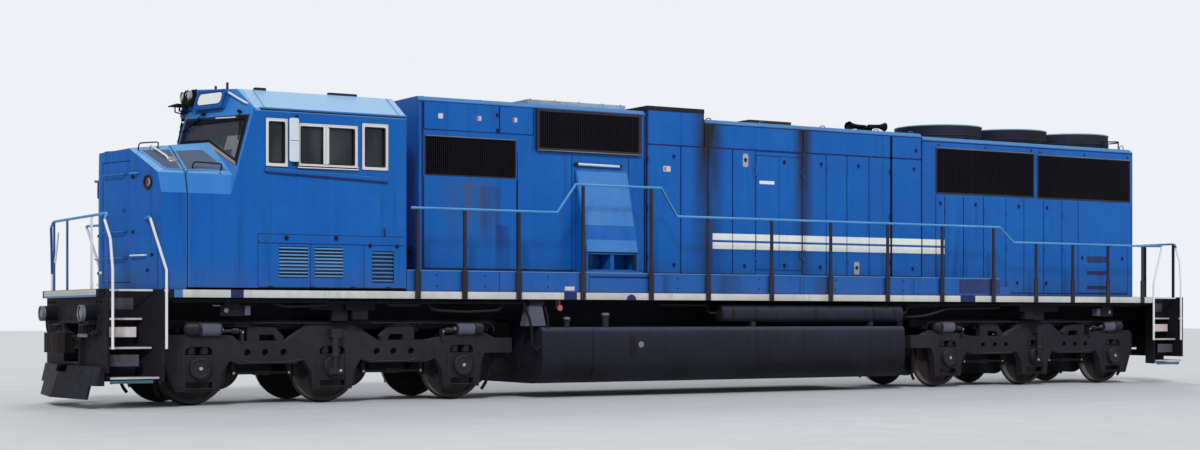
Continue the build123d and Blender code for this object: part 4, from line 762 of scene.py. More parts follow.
def hood_sides():
    """Raised panels over dark joints, with hinges and latches, on both sides."""
    panels, joints, worn, roof = several(4)
    # bands of panels, columns: low, high, x of the joints from front to rear
    for low, high, edges in (
            (LOW, TOP, (-1.44, -0.783, -0.24, 0.256, 0.727)), (LOW, TOP, (1.717, 2.228, 2.684, 3.179, 3.662)),
            (LOW, TOP, (3.693, 4.376)), (4.062, 4.43, (1.729, 3.662)), (4.062, 4.43, (-0.317, 1.729)),
            (4.062, 4.5, (-1.44, -0.317)), (4.062, 4.43, (3.693, 4.376)),
            (4.095, 4.505, (-5.45, -4.153, -3.553)),
            (1.985, 3.36, (-5.45, -3.85)), (1.985, 3.8, (-3.835, -2.86)), (1.985, 3.8, (-1.79, -1.5)),
            (1.69, 3.42, (4.715, 4.922, 5.372, 5.857, 6.403, 6.855, 7.356, 7.821, 8.245)),
            (2.64, 3.4, (8.245, 9.66)), (1.7, 2.62, (8.245, 9.56))):
        for x0, x1 in zip(edges, edges[1:]):
            panels.prism(rect(x0 + 0.007, x1 - 0.007, low, high, 0.018), HOOD, -0.001, PLATE, 0.0015)
            for x in (x0, x1):
                joints.prism(rect(x - 0.01, x + 0.01, low, high), HOOD, -0.002, 0.0012)
    # dark joints along the panels, columns: front x, rear x, low, high
    joints.plates(HOOD, -0.002, 0.0012, (
        (-1.445, 0.724, LOW - 0.028, LOW + 0.01), (1.72, 4.375, LOW - 0.028, LOW + 0.01),
        (-1.445, 4.375, 4.028, 4.068), (-5.452, -3.555, 4.078, 4.1), (4.715, 9.565, 1.672, 1.698),
        (8.245, 9.565, 2.612, 2.648), (-5.445, -3.855, 1.955, 1.992), (3.65, 3.705, 1.945, 4.43),
        (4.366, 4.396, 1.7, 4.4), (-1.5, -1.436, 1.945, 4.5), (-5.49, -5.456, 1.7, 4.5),
        (-3.85, -2.81, 1.945, 1.985), (-1.81, -1.5, 1.945, 1.985), (-3.856, -3.838, 1.985, 3.37)))
    # latches, columns: x, height, whether the paint round it is worn off
    for x, z, bare in (
            (-0.92, 3.877, 0), (-0.92, 2.1, 0), (0.52, 3.88, 1), (0.5, 2.1, 0), (2.12, 3.877, 0), (2.1, 2.1, 0),
            (2.94, 3.877, 0), (2.9, 2.1, 1), (4.2, 3.877, 0), (4.17, 2.1, 0), (4.82, 3.29, 0), (5.66, 3.29, 0),
            (4.82, 1.88, 0), (5.62, 1.88, 0), (6.724, 3.29, 0), (7.443, 3.284, 0), (6.684, 1.874, 0),
            (7.417, 1.876, 0), (8.35, 2.366, 0), (9.417, 2.369, 0), (4.25, 4.21, 0), (-4.19, 4.37, 0),
            (-4.19, 4.13, 0)):
        latch(joints, PANEL, x, z)
        if bare:
            worn.prism(rect(x - 0.055, x + 0.055, z - 0.12, z + 0.1, 0.03), HOOD, PLATE - 0.001, PLATE + 0.0015)
    # strap hinges of the fixed doors: x of each, low, high
    for xs, low, high in (((-1.43, -0.24, 0.256, 2.228, 2.684, 3.64, 4.37), 2.2, 3.8),
                          ((4.922, 5.857, 6.403, 7.356, 7.821), 1.84, 3.15)):
        for x, z in [(x, z) for x in xs for z in (low, (low + high) / 2, high)]:
            joints.rod(HOOD(x, z - 0.045, 0.006), HOOD(x, z + 0.045, 0.006), 0.009, 8)
            joints.bolts(PANEL, [(x + 0.03, z - 0.03), (x + 0.03, z + 0.03)], 0.006)
    # pale line along the hood's top edges, a painted highlight of the rounded edge, with the dark joint under
    # it, columns: front x, rear x, height
    for x0, x1, z in ((-5.525, -1.475, 4.52), (-0.3, 4.395, 4.45), (4.405, 9.695, 4.405)):
        roof.box(x0, x1, -HOOD_Y - 0.008, -HOOD_Y + 0.01, z - 0.006, z + 0.012, 0.003)
        joints.prism(rect(x0, x1, z - 0.024, z - 0.007), HOOD, -0.002, 0.003)
    # lifting eyes
    for x in (-5.44, -4.6, -3.9, -0.1, 1.0, 2.3, 3.5, 4.3, 9.6):
        roof.path([(x - 0.05, -0.76, 4.44), (x - 0.05, -0.76, 4.56), (x + 0.05, -0.76, 4.56),
                   (x + 0.05, -0.76, 4.44)], 0.009, 0.04, 6)
    panels.pair("hood_panels", "sheet_blue", "blue_paint")
    joints.pair("hood_joints", "joint_navy", "grille_paint")
    worn.pair("worn_patches", "bright_steel", "window_metal")
    roof.pair("hood_edges", "roof_blue", "roof_paint")
    on_leaf(lambda piece, face: [latch(piece, face, 1.33, z) for z in (3.877, 2.12)],
            "leaf_latches_%s", "rear", "seam_black", "grille_paint")


hood_sides()


def side_grilles():
    """Grilles of close upright bars in a frame, over a dark well, for both sides."""
    bars, wells, frames, dots = several(4)
    # columns: front x, rear x, low, high, bars, proud, frame width
    for x0, x1, z0, z1, count, proud, rim in (
            (-5.44, -3.86, 3.39, 4.0, 46, 0.004, 0.02), (-3.52, -1.59, 3.85, 4.51, 52, 0.066, 0.045),
            (4.71, 7.11, 3.46, 4.29, 84, 0.012, 0.026), (7.19, 9.63, 3.45, 4.27, 84, 0.012, 0.026)):
        face = left(HOOD_Y + proud)
        pitch = (x1 - x0 - 2 * rim) / count
        for i in range(count):
            x = x0 + rim + pitch * (i + 0.5)
            bars.prism(rect(x - pitch * 0.2, x + pitch * 0.2, z0 + rim, z1 - rim), face, -0.05, -0.004)
        for z in (z0 + (z1 - z0) / 3, z0 + 2 * (z1 - z0) / 3):
            bars.prism(rect(x0 + rim, x1 - rim, z - 0.008, z + 0.008), face, -0.04, -0.02)
        wells.prism(rect(x0 + 0.005, x1 - 0.005, z0 + 0.005, z1 - 0.005), face, -0.075 - proud, -0.056)
        frames.rim(rect(x0, x1, z0, z1), face, rim, -0.058, 0.0)
        edge = z0 if proud > 0.03 else z1 - 0.012
        dots.prism(rect(x0 + 0.01, x1 - 0.01, edge, edge + 0.012), face, 0.0, 0.003)
        if 0.01 < proud < 0.03:
            for x in (x0 + 0.07, (x0 + x1) / 2, x1 - 0.07):
                frames.rod(HOOD(x, z1 + 0.045, -0.004), HOOD(x, z1 + 0.045, 0.014), 0.02, 12)
    bars.pair("grille_bars", "grille_black", "grille_paint", replaced=["side_grilles"])
    wells.pair("grille_wells", "seam_black", "grille_paint")
    frames.pair("grille_frames", "post_dark", "grille_paint")
    dots.pair("grille_edges", "dusty_metal", "grille_paint")


side_grilles()


def stripes():
    """White bands along the sill, on the hood and on the front beam, and blank plates."""
    white, labels, red, dark, fresh, under = several(6)
    white.plates(SILL, -0.001, 0.003, [(x0, x1, SILL_LOW + 0.004, DECK - 0.004) for x0, x1 in (
        (-9.4, -8.71), (-8.52, -3.33), (-3.1, 4.78), (5.13, 9.64))])
    dark.plates(SILL, -0.001, 0.004, [(x0, x1, SILL_LOW + 0.002, DECK - 0.002) for x0, x1 in (
        (-8.71, -8.52), (-3.33, -3.1), (4.78, 5.13))])
    dark.prism(arc((-2.1, SILL_LOW), 0.09, 0, 180, 10), SILL, -0.001, 0.006)
    for z0, z1 in STRIPES:
        fresh.plates(HOOD, 0.0, PLATE + 0.0015, [(x0, x1, z0, z1) for x0, x1 in (
            (-0.149, 0.249), (0.263, 0.72), (1.724, 2.221), (2.235, 2.677), (2.691, 3.172), (3.186, 3.655),
            (3.7, 4.369), (4.402, 4.708), (4.722, 4.915))])
        for x0, x1, where in ((0.745, 1.216, "front"), (1.228, 1.699, "rear")):
            on_leaf(lambda piece, face: piece.prism(rect(x0, x1, z0, z1), face, -0.001, 0.0015),
                    "leaf_stripe_%%s_%s_%d" % (where, z0 * 1000), where, "bright_white", "board_face")
    # white face of the front beam, and the worn white edges of the steps
    beam = forward(-END_X - 0.09)
    white.prism(rect(-1.34, 0, 1.536, 1.614), beam, -0.001, 0.003)
    under.prism(rect(-1.34, 0, 1.512, 1.534), beam, -0.001, 0.003)
    under.pair("front_beam_line", "faded_blue", "blue_paint")
    for z, edge in ((DECK, 1.4), (1.227, 1.23), (0.83, 1.38), (0.42, 1.5)):
        for end in (-1, 1):
            white.box(end * (9.71 + (SILL_Y - edge) / 0.44 * 0.26), end * 10.4, -edge - 0.006, -edge + 0.004,
                      z - 0.03, z - 0.002, 0.002)
    # blank plates, columns: x, height, half width, half height
    for x, z, half_x, half_z in ((-5.17, 4.3, 0.04, 0.04), (-4.51, 4.296, 0.036, 0.036),
                                 (-3.88, 4.307, 0.036, 0.036), (-1.056, 3.663, 0.07, 0.045)):
        labels.prism(around(x, z, half_x, half_z, 0.012), HOOD, 0.0, PLATE + 0.002)
    for x, z in ((-4.535, 4.296), (-3.905, 4.307), (-1.09, 3.663)):
        red.prism(around(x, z, 0.018, 0.032), HOOD, 0.0, PLATE + 0.003)
    labels.prism(rect(-3.3, -3.13, 1.648, 1.71), DUCT, -0.001, 0.002)
    on_leaf(lambda piece, face: piece.prism(rect(0.81, 1.12, 3.485, 3.54, 0.006), face, -0.001, 0.003),
            "leaf_plate_%s", "front", "bright_white", "board_face")
    red.turn([(0.045, 0), (0.045, 0.01), (0, 0.01)], SILL(-3.346, 1.378, -0.1), (0, -1, 0), 16)
    red.box(-3.352, -3.34, -1.42, -1.3, 1.37, 1.51, 0.0)
    white.pair("white_stripes", "stripe_white", "board_face")
    fresh.pair("hood_stripes", "bright_white", "board_face")
    labels.pair("blank_labels", "label_pale", "board_face")
    red.pair("red_tags", "label_red", "board_face")
    dark.pair("jacking_pads", "pad_blue", "frame_paint")


stripes()


# Nose and cab

def nose_section(x, depth):
    """Left half of the nose's cross-section as (y, height), at a depth under its skin."""
    top = nose_top(x) - depth
    return [(-1.5 + depth, 1.65), (-1.5 + depth, 2.955), (-1.415 + depth, 3.235 - 0.7 * depth), (-0.73, top),
            (0, top)]


def nose_details():
    """Isolation seam, class lamps, grab irons, pads and plates of the nose."""
    dark, pale, blue_bits, pads, leaf, bright, lamp, silver = several(8)
    dark.frame(nose_section(SEAM_X, 0.008), nose_section(SEAM_X, 0.05), forward(SEAM_X), -0.0245, -0.0005,
               False)
    # paler strips along both edges of the seam: painted highlights
    for x in (SEAM_X - 0.002, SEAM_X + 0.035):
        blue_bits.frame(nose_section(SEAM_X, -0.004), nose_section(SEAM_X, 0.004), forward(x), -0.008, 0.0,
                        False)
    # class lamps: dark ring, red-brown lens, and a pale crescent on the lens, a painted highlight
    place = Vector(on_nose(-1.19, 3.105, 0))
    axis = Vector(on_nose(-1.19, 3.105, 1)) - place
    dark.turn([(0.104, -0.002), (0.104, 0.012), (0.092, 0.02), (0.078, 0.01), (0.078, 0.002), (0, 0.002)],
              place, axis, 28)
    lamp.turn([(0.076, 0.002), (0.062, 0.01), (0.03, 0.015), (0, 0.016)], place, axis)
    bright.prism(arc((-1.205, 3.105), 0.052, 100, 260, 8) + arc((-1.18, 3.105), 0.052, 235, 125, 8),
                 on_nose, 0.01, 0.0165)
    # grab irons, columns: ends (y, height), piece
    for a, b, target in (((-0.17, 3.237), (-0.66, 3.237), leaf), ((-0.16, 2.43), (-0.66, 2.43), leaf),
                         ((-0.16, 2.06), (-0.66, 2.06), leaf), ((-0.83, 2.093), (-1.154, 2.093), pale),
                         ((-0.81, 3.237), (-0.98, 3.237), blue_bits)):
        target.grab(on_nose, (a, b), 0.055, 0.013)
    latch(leaf, on_nose, -0.6, 2.75)
    dark.bolts(on_nose, ((-0.83, 3.193), (-0.83, 2.427), (-1.284, 2.097), (-1.177, 1.887)), 0.022)
    dark.prism(rect(-1.428, -1.418, 1.65, 2.405), on_nose, -0.001, 0.003)
    pale.prism(rect(-0.06, -0.005, 1.85, 1.885), on_nose, -0.001, 0.006)
    # anti-slip pads on the slope with a pale edge, corners (x, share of the slope), and on the flat top
    for corners in ([(-9.775, 0.12), (-9.365, 0.17), (-9.365, 0.89), (-9.578, 0.87)],
                    [(-9.3, 0.22), (-8.9, 0.24), (-8.7, 0.85), (-9.284, 0.9)]):
        pads.prism(corners, on_slope, -0.001, 0.006)
        blue_bits.rim(inset(corners, -0.016), on_slope, 0.022, -0.001, 0.01)
    pads.plates(on_nose_top, -0.001, 0.005, ((-9.3, -8.92, -0.7, 0.0, 0.03), (-9.9, -9.37, -0.7, 0.0, 0.03)))
    dark.grab(on_slope, ((-9.191, 0.84), (-8.79, 0.88)), 0.11, 0.011)
    dark.grab(on_slope, ((-9.802, 0.1), (-9.524, 0.1)), 0.11, 0.01)
    silver.rod(on_slope(-9.412, 0.54, 0), on_slope(-9.412, 0.54, 0.022), 0.075, 20, 0.006)
    pale.path([on_slope(-9.62, 0.05, 0.0), on_slope(-9.62, 0.07, 0.05), on_slope(-9.489, 0.5, 0.05),
               on_slope(-9.47, 0.54, 0.02)], 0.014, 0.04)
    dark.bolts(on_slope, ((-8.82, 0.97), (-9.3, 0.97)), 0.012)
    blue_bits.prism(rect(-9.52, -9.4, SILL_LOW + 0.004, DECK - 0.004), SILL, -0.001, 0.003)
    dark.pair("nose_fittings", "seam_black", "grille_paint")
    pale.pair("nose_white_irons", "rail_white", "board_face")
    blue_bits.pair("nose_edges", "faded_blue", "blue_paint")
    pads.pair("nose_pads", "pad_grey", "frame_paint")
    bright.pair("nose_lamps", "class_lens_glint", "lamp_metal")
    lamp.pair("nose_lamp_dishes", "dark_lens", "lamp_metal")
    silver.pair("nose_caps", "bright_steel", "lamp_metal")
    leaf.finish("nose_door_irons", "body_blue", "blue_paint", "nose_door_leaf")


nose_details()


def cab_front():
    """Gaskets, wipers, number boards, headlights and rails of the cab's front."""
    rubber, tan, face, dark, white, glassy, bezel, box, inside = several(9)
    opening = [(-0.11, 4.05), (-1.37, 4.05), (-1.39, 3.44), (-0.7, 3.77), (-0.11, 3.79)]
    outer = [(-0.035, 4.125), (-1.435, 4.098), (-1.452, 3.365), (-0.722, 3.685), (-0.035, 3.735)]
    middle = [((a + c) / 2, (b + d) / 2) for (a, b), (c, d) in zip(opening, outer)]
    rubber.frame(outer, inset(opening, 0.012), on_shield, -0.001, 0.008)
    dark.frame(middle, inset(opening, 0.004), on_shield, 0.0, 0.012)
    tan.prism([(-0.722, 3.69), (-1.44, 3.372), (-1.415, 3.42), (-0.715, 3.738)], on_shield, 0.0, 0.018)
    # wipers, each a blade and its arm, corners (y, height)
    for blade, arm in ((((-0.4, 4.1), (-0.06, 3.93)), ((-0.438, 4.162), (-0.25, 4.02))),
                       (((-1.324, 4.06), (-1.366, 3.733)), ((-1.233, 4.145), (-1.345, 3.9)))):
        for (a, b), out, radius in ((blade, 0.026, 0.011), (arm, 0.04, 0.008)):
            dark.tube([on_shield(*a, out), on_shield(*b, out)], radius, 6)
        dark.rod(on_shield(*arm[0], 0.0), on_shield(*arm[0], 0.06), 0.022, 12)
    white.tube([on_shield(-1.182, 4.065, 0.03), on_shield(-0.75, 4.08, 0.03)], 0.01, 6)
    white.grab(on_shield, ((-0.9, 4.44), (-1.33, 4.262)), 0.05, 0.016)
    # number board: dark rim, white face with round corners
    box.rim([(-0.262, 4.235), (-0.868, 4.235), (-0.868, 4.48), (-0.262, 4.5)], on_shield, 0.022, 0.075, 0.094)
    rubber.prism(rect(-0.832, -0.3, 4.268, 4.452, 0.062, 6), on_shield, 0.08, 0.0865)
    face.prism(rect(-0.82, -0.312, 4.28, 4.44, 0.055, 6), on_shield, 0.08, 0.0885)
    bezel.bolts(on_shield, [(-0.3, 4.252), (-0.83, 4.252), (-0.83, 4.462), (-0.3, 4.472)], 0.008)
    # twin headlights with a visor
    place = on_shield(-0.095, 4.435, 0.108)
    bezel.turn([(0.088, -0.02), (0.088, 0.022), (0.08, 0.028), (0.07, 0.014), (0.07, -0.01)], place,
               (-1, 0, 0), 28)
    glassy.turn([(0.07, 0.004), (0.055, 0.014), (0.03, 0.02), (0, 0.022)], place, (-1, 0, 0))
    dark.box(-9.05, -8.86, -0.2, 0.0, 4.318, 4.333, 0.003)
    for y in (-0.2, -0.01):
        dark.tube([(-8.94, y, 4.33), (-8.94, y, 4.25), (-8.8, y, 4.22)], 0.01, 6)
    dark.rod(on_shield(-0.073, 4.5, 0.0), on_shield(-0.073, 4.575, 0.0), 0.012)
    # pale panel behind the windshield
    inside.prism([(-1.01, 3.83), (-1.36, 3.83), (-1.37, 3.5), (-1.2, 3.5), (-1.2, 3.63), (-1.01, 3.63)],
                 on_shield, -0.06, -0.05)
    inside.finish("cab_placard", "board_white", "board_face")
    rubber.pair("shield_gaskets", "rubber_black", "window_metal")
    dark.pair("wipers", "grille_black", "window_metal")
    tan.pair("shield_sills", "aged_tan", "window_metal")
    white.pair("cab_white_irons", "rail_white", "board_face")
    box.pair("board_rims", "body_blue", "blue_paint")
    face.pair("board_faces", "board_white", "board_face")
    glassy.pair("headlight_lenses", "lamp_glass", "lamp_metal")
    bezel.pair("headlight_bezels", "bright_steel", "lamp_metal")


cab_front()


def cab_side():
    """Window gaskets, deflector blade, seams, latches and vent frames of the cab's sides."""
    rubber, pale, dark, blade, lip, navy, slats, gap, pipes = several(9)
    # openings and outer frames, columns: opening x0, x1, z0, z1, frame x0, x1, z0, z1
    for x0, x1, z0, z1, a0, a1, b0, b1 in (
            (-8.145, -7.9, 3.42, 4.01, -8.187, -7.858, 3.371, 4.056),
            (-7.665, -6.825, 3.43, 3.965, -7.707, -6.783, 3.388, 4.007),
            (-6.67, -6.34, 3.425, 4.005, -6.712, -6.298, 3.378, 4.059)):
        rubber.rim(rect(x0 - 0.002, x1 + 0.002, z0 - 0.002, z1 + 0.002, 0.03), CAB, 0.014, -0.03, 0.016)
        rubber.rim(inset(rect(a0, a1, b0, b1, 0.01), -0.005), CAB, 0.006, -0.001, 0.006)
        pale.rim(rect(a0 + 0.002, a1 - 0.002, b0 + 0.002, b1 - 0.002, 0.012), CAB, 0.012, 0.012, 0.02)
    pale.plates(CAB, 0.0, 0.034, ((-7.715, -6.775, 3.365, 3.379), (-7.715, -6.775, 3.397, 3.411)))
    rubber.prism(rect(-7.7, -6.79, 3.38, 3.396), CAB, 0.0, 0.024)
    pale.plates(CAB, 0.01, 0.024, ((-7.316, -7.284, 3.43, 3.965), (-7.278, -7.246, 3.43, 3.965)))
    rubber.prism(rect(-7.284, -7.278, 3.43, 3.965), CAB, 0.0, 0.023)
    blade.prism(rect(-7.857, -7.712, 3.445, 4.068, 0.03), CAB, 0.062, 0.076, 0.003)
    dark.prism(rect(-7.857, -7.712, 3.742, 3.748), CAB, 0.07, 0.0775)
    for z in (3.43, 4.085):
        dark.rod(CAB(-7.73, z - 0.03, 0.045), CAB(-7.73, z + 0.03, 0.045), 0.02, 12)
        dark.box(-7.75, -7.71, -1.55, -1.5, z - 0.012, z + 0.012)
    # thin seams, columns: x0, x1, low, high
    dark.plates(CAB, -0.001, 0.002, (
        (-8.305, -8.297, 1.655, 2.4), (-8.297, -6.02, 2.409, 2.417), (-6.682, -6.674, 1.665, 2.29),
        (-8.297, -6.02, 1.652, 1.664), (-8.297, -6.02, 2.28, 2.29), (-7.512, -7.506, 1.665, 2.29)))
    lip.prism([(-8.19, 3.352), (-6.32, 3.272), (-6.32, 3.264), (-8.19, 3.344)], CAB, 0.02, 0.03)
    navy.prism([(-8.19, 3.3), (-6.31, 3.222), (-6.31, 3.196), (-8.19, 3.274)], CAB, -0.001, 0.026)
    for x, z in ((-7.875, 2.366), (-7.116, 2.377), (-6.583, 2.285), (-6.151, 2.28)):
        latch(dark, left(CAB_Y + 0.004), x, z)
    dark.plates(CAB, 0.0, 0.016, [(x - 0.035, x + 0.035, 1.65, 1.676, 0.01)
                                  for x in (-8.117, -7.48, -6.851, -6.296)])
    dark.grab(CAB, ((-6.36, 2.53), (-6.36, 2.43)), 0.03, 0.008)
    # louvres: slats in the paler roof blue, a painted highlight, over dark slots
    for x0, x1, z0, z1 in ((-7.987, -7.548, 1.795, 2.245), (-7.44, -7.007, 1.8, 2.24)):
        for i in range(9):
            z = z0 + (z1 - z0) * (i + 0.5) / 9
            slats.prism(rect(x0, x1, z - 0.007, z + 0.01), CAB, -0.004, 0.006)
            dark.prism(rect(x0, x1, z - 0.023, z - 0.008), CAB, -0.012, 0.002)
    for i in range(8):
        z = 1.737 + 0.463 * (i + 0.5) / 8
        dark.prism(rect(-6.551, -6.2, z - 0.021, z - 0.005), CAB, -0.02, 0.001)
    # drip rail under the roof with a dark strip under it, a painted shadow, and the roof's seams
    lip.box(-8.275, -5.995, -1.516, -1.496, 4.184, 4.204, 0.004)
    dark.prism(rect(-8.265, -6.005, 4.16, 4.176), CAB, -0.001, 0.003)
    lip.plates(on_roof_slope, -0.002, 0.006, ((-8.2, -8.18, 0.02, 0.98), (-6.11, -6.09, 0.02, 0.98)))
    for x, half_x, high in ((-8.07, 0.085, 0.03), (-6.79, 0.225, 0.026)):
        dark.box(x - half_x, x + half_x, -1.0, -0.92, 4.49, 4.51 + high, 0.006)
    dark.rod((-8.3, -0.25, 4.54), (-8.3, -0.25, 4.68), 0.018)
    # boxes and pipes in the gap behind the cab
    gap.box(-5.955, -5.79, -0.96, -0.82, 1.935, 2.16, 0.012)
    gap.box(-5.965, -5.745, -1.18, -0.94, 1.64, 1.93, 0.012)
    gap.box(-5.98, -5.56, -0.9, 0.0, 1.62, 1.93, 0.01)
    for y, radius in ((-0.6, 0.05), (-0.42, 0.035), (-0.3, 0.035)):
        pipes.path([(-5.99, y, 2.05), (-5.78, y, 2.05), (-5.78, y, 2.25), (-5.53, y, 2.25)], radius, 0.08, 10)
    rubber.pair("window_gaskets", "rubber_black", "window_metal")
    pale.pair("window_tracks", "window_pale", "window_metal")
    dark.pair("cab_seams", "seam_black", "grille_paint")
    blade.pair("wind_blades", "blade_pale", "window_metal")
    lip.pair("cab_edges", "faded_blue", "blue_paint")
    slats.pair("louvre_slats", "sky_lit_cab_roof", "blue_paint")
    navy.pair("ledge_shadows", "pad_blue", "blue_paint")
    gap.pair("gap_boxes", "body_blue", "blue_paint")
    pipes.pair("gap_pipes", "rubber_black", "frame_paint")


cab_side()


# Blower ducts, roofs and the rear end

def hood_front_details():
    """Fittings of the front hood, the blower ducts and the walkway ducts."""
    faded, dark, white, edge, tread, navy = several(6)
    faded.prism(rect(-2.775, -1.845, 2.69, 3.56), on_wedge, 0.001, 0.004)
    faded.prism(rect(-2.775, -1.845, 2.27, 2.46), on_wedge, 0.001, 0.006)
    dark.prism(rect(-2.79, -1.83, 2.252, 2.265), on_wedge, 0.0, 0.012)
    for x in (-2.72, -1.9):
        dark.prism([(x - 0.03, 2.235), (x + 0.03, 2.235), (x + 0.02, 1.985), (x - 0.02, 1.985)], left(1.29),
                   -0.02, 0.02)
    white.tube([HOOD(-2.8, 3.665, 0.055), HOOD(-1.98, 3.655, 0.055)], 0.02)
    for x in (-2.8, -1.98):
        dark.rod(HOOD(x, 3.66, 0.0), HOOD(x, 3.66, 0.075), 0.028, 12)
    faded.prism(rect(-2.84, -1.76, 1.932, 1.962, 0.01), left(1.28), 0.0, 0.06)
    dark.prism(rect(-2.84, -1.76, 1.858, 1.874), DUCT, 0.0, 0.012)
    # light edge of the walkway duct, a painted highlight with worn patches, and the duct's joints
    edge.box(-5.985, 5.735, -1.506, -1.49, 1.918, 1.934, 0.003)
    dark.plates(DUCT, -0.001, 0.002, [(x - 0.005, x + 0.005, 1.63, 1.915)
                                      for x in (-4.45, -2.86, -1.74, 1.25, 3.73)])
    dark.bolts(DUCT, [(x, z) for x in (-5.5, -4.7, -3.6, -1.2, 0.4, 2.0, 3.5, 5.2) for z in (1.7, 1.86)], 0.01)
    navy.prism(rect(4.78, 5.735, 1.66, 1.905, 0.01), DUCT, -0.001, 0.003)
    # vent slots low on the rear panel, columns: low, high
    for z0, z1 in ((2.275, 2.395), (2.045, 2.115), (1.765, 1.835)):
        navy.prism(rect(8.475, 9.025, z0, z1, 0.012), PANEL, -0.001, 0.002)
        for i in range(3):
            z = z0 + (z1 - z0) * (i + 0.5) / 3
            dark.prism(rect(8.485, 9.015, z - 0.004, z + 0.004), PANEL, 0.0, 0.005)
    # raised pattern of the walkway's plates, in rows
    for i in range(118):
        x = -5.9 + i * 0.099
        if not -2.86 < x < -1.76:
            for j in range(4):
                y = -1.02 - 0.12 * j - (0.06 if i % 2 else 0.0)
                tread.box(x - 0.028, x + 0.028, y - 0.006, y + 0.006, DUCT_TOP, DUCT_TOP + 0.003, 0.0015,
                          Matrix.Rotation(math.radians(45 if j % 2 else -45), 4, "Z"))
    # bolted feet of the side rail's posts
    dark.bolts(left(1.552), [(x, z) for x in (
        -5.83, -5.055, -4.13, -2.995, -1.735, -0.635, 0.635, 1.87, 3.11, 4.345, 5.555, 6.595, 7.515, 8.425,
        9.34)
        for z in (1.535, 1.59)], 0.011)
    # roof hatch: joints and bolts
    for x in (-3.05, -2.6, -2.15):
        edge.box(x - 0.008, x + 0.008, -0.69, 0.0, 4.678, 4.684, 0.001)
    dark.bolts(upward(4.68), [(x, -0.66) for x in (-3.45, -3.0, -2.55, -2.1, -1.77)])
    faded.pair("blower_faces", "faded_blue", "blue_paint")
    dark.pair("hood_fittings", "seam_black", "grille_paint")
    white.pair("blower_handles", "rail_white", "board_face")
    edge.pair("duct_edges", "worn_and_highlit_edge", "roof_paint")
    navy.pair("navy_plates", "plate_navy", "blue_paint")
    tread.pair("walkway_tread", "tread_grey", "frame_paint")


hood_front_details()


def roofs():
    """Fan guards, horn bells, exhaust trim, roof hatches and the rear roof rail."""
    guard, dark, eyes, horn, rims = several(5)
    for x in FAN_X:
        # rings, columns: piece, radius, height, corners, wire, sides
        for target, radius, z, corners, wire, sides in (
                (rims, 0.802, 4.742, 48, 0.012, 6), (guard, 0.802, 4.56, 48, 0.012, 6),
                (guard, 0.16, 4.735, 32, 0.006, 5), (guard, 0.42, 4.735, 32, 0.006, 5),
                (guard, 0.66, 4.735, 32, 0.006, 5)):
            target.tube([(x + radius * c, radius * s, z) for c, s in round_about(corners)], wire, sides, True)
        for c, s in round_about(16):
            dark.box(x + 0.83 * c - 0.03, x + 0.83 * c + 0.03, 0.83 * s - 0.02, 0.83 * s + 0.02, 4.475, 4.51)
            dark.bolt((x + 0.785 * c, 0.785 * s, 4.74), (0, 0, 1))
    # hatches over the engine, columns: x0, x1, half width, low, high
    for x0, x1, half, low, high in ((-0.22, 1.06, 0.62, 4.51, 4.545), (2.16, 3.35, 0.62, 4.51, 4.545),
                                    (3.95, 4.33, 0.5, 4.51, 4.54), (-5.4, -4.2, 0.66, 4.58, 4.615)):
        guard.box(x0, x1, -half, half, low, high, 0.006)
        dark.bolts(upward(high), [(x, y) for x in (x0 + 0.1, x1 - 0.1) for y in (0.08 - half, half - 0.08)],
                   0.018)
    guard.rim(rect(1.12, 2.08, -0.22, 0.22, 0.02), upward(4.52), 0.05, -0.01, 0.02)
    # horn: three bells with rolled rims, on their manifold
    for x, y, way in ((3.6, -0.35, -1), (3.66, -0.22, -1), (3.54, -0.48, 1)):
        horn.turn([(0.02, 0), (0.03, 0.02), (0.032, 0.16), (0.04, 0.26), (0.056, 0.33), (0.078, 0.375),
                   (0.08, 0.384), (0.07, 0.384), (0.03, 0.3), (0, 0.29)], (x, y, 4.65), (way, 0, 0), 20)
    horn.box(3.54, 3.66, -0.54, -0.16, 4.6, 4.63, 0.01)
    horn.rod((3.6, -0.54, 4.645), (3.6, -0.16, 4.645), 0.022)
    horn.box(3.57, 3.63, -0.5, -0.2, 4.515, 4.605, 0.008)
    eyes.tube([(8.98, -0.85, 4.47), (8.98, -0.85, 4.6), (9.42, -0.85, 4.62), (9.42, -0.85, 4.47)], 0.012, 8)
    eyes.tube([(9.42, -0.85, 4.6), (9.42, 0.85, 4.6)], 0.012, 8)
    rims.finish("fan_rims", "hatch_grey", "roof_paint")
    guard.finish("roof_guards", "cap_dark", "roof_paint")
    dark.finish("roof_bolts", "grille_black", "grille_paint")
    eyes.finish("roof_rails", "grille_black", "rail_paint")
    horn.finish("horn_bells", "grille_black", "lamp_metal", replaced=["air_horn"])


roofs()


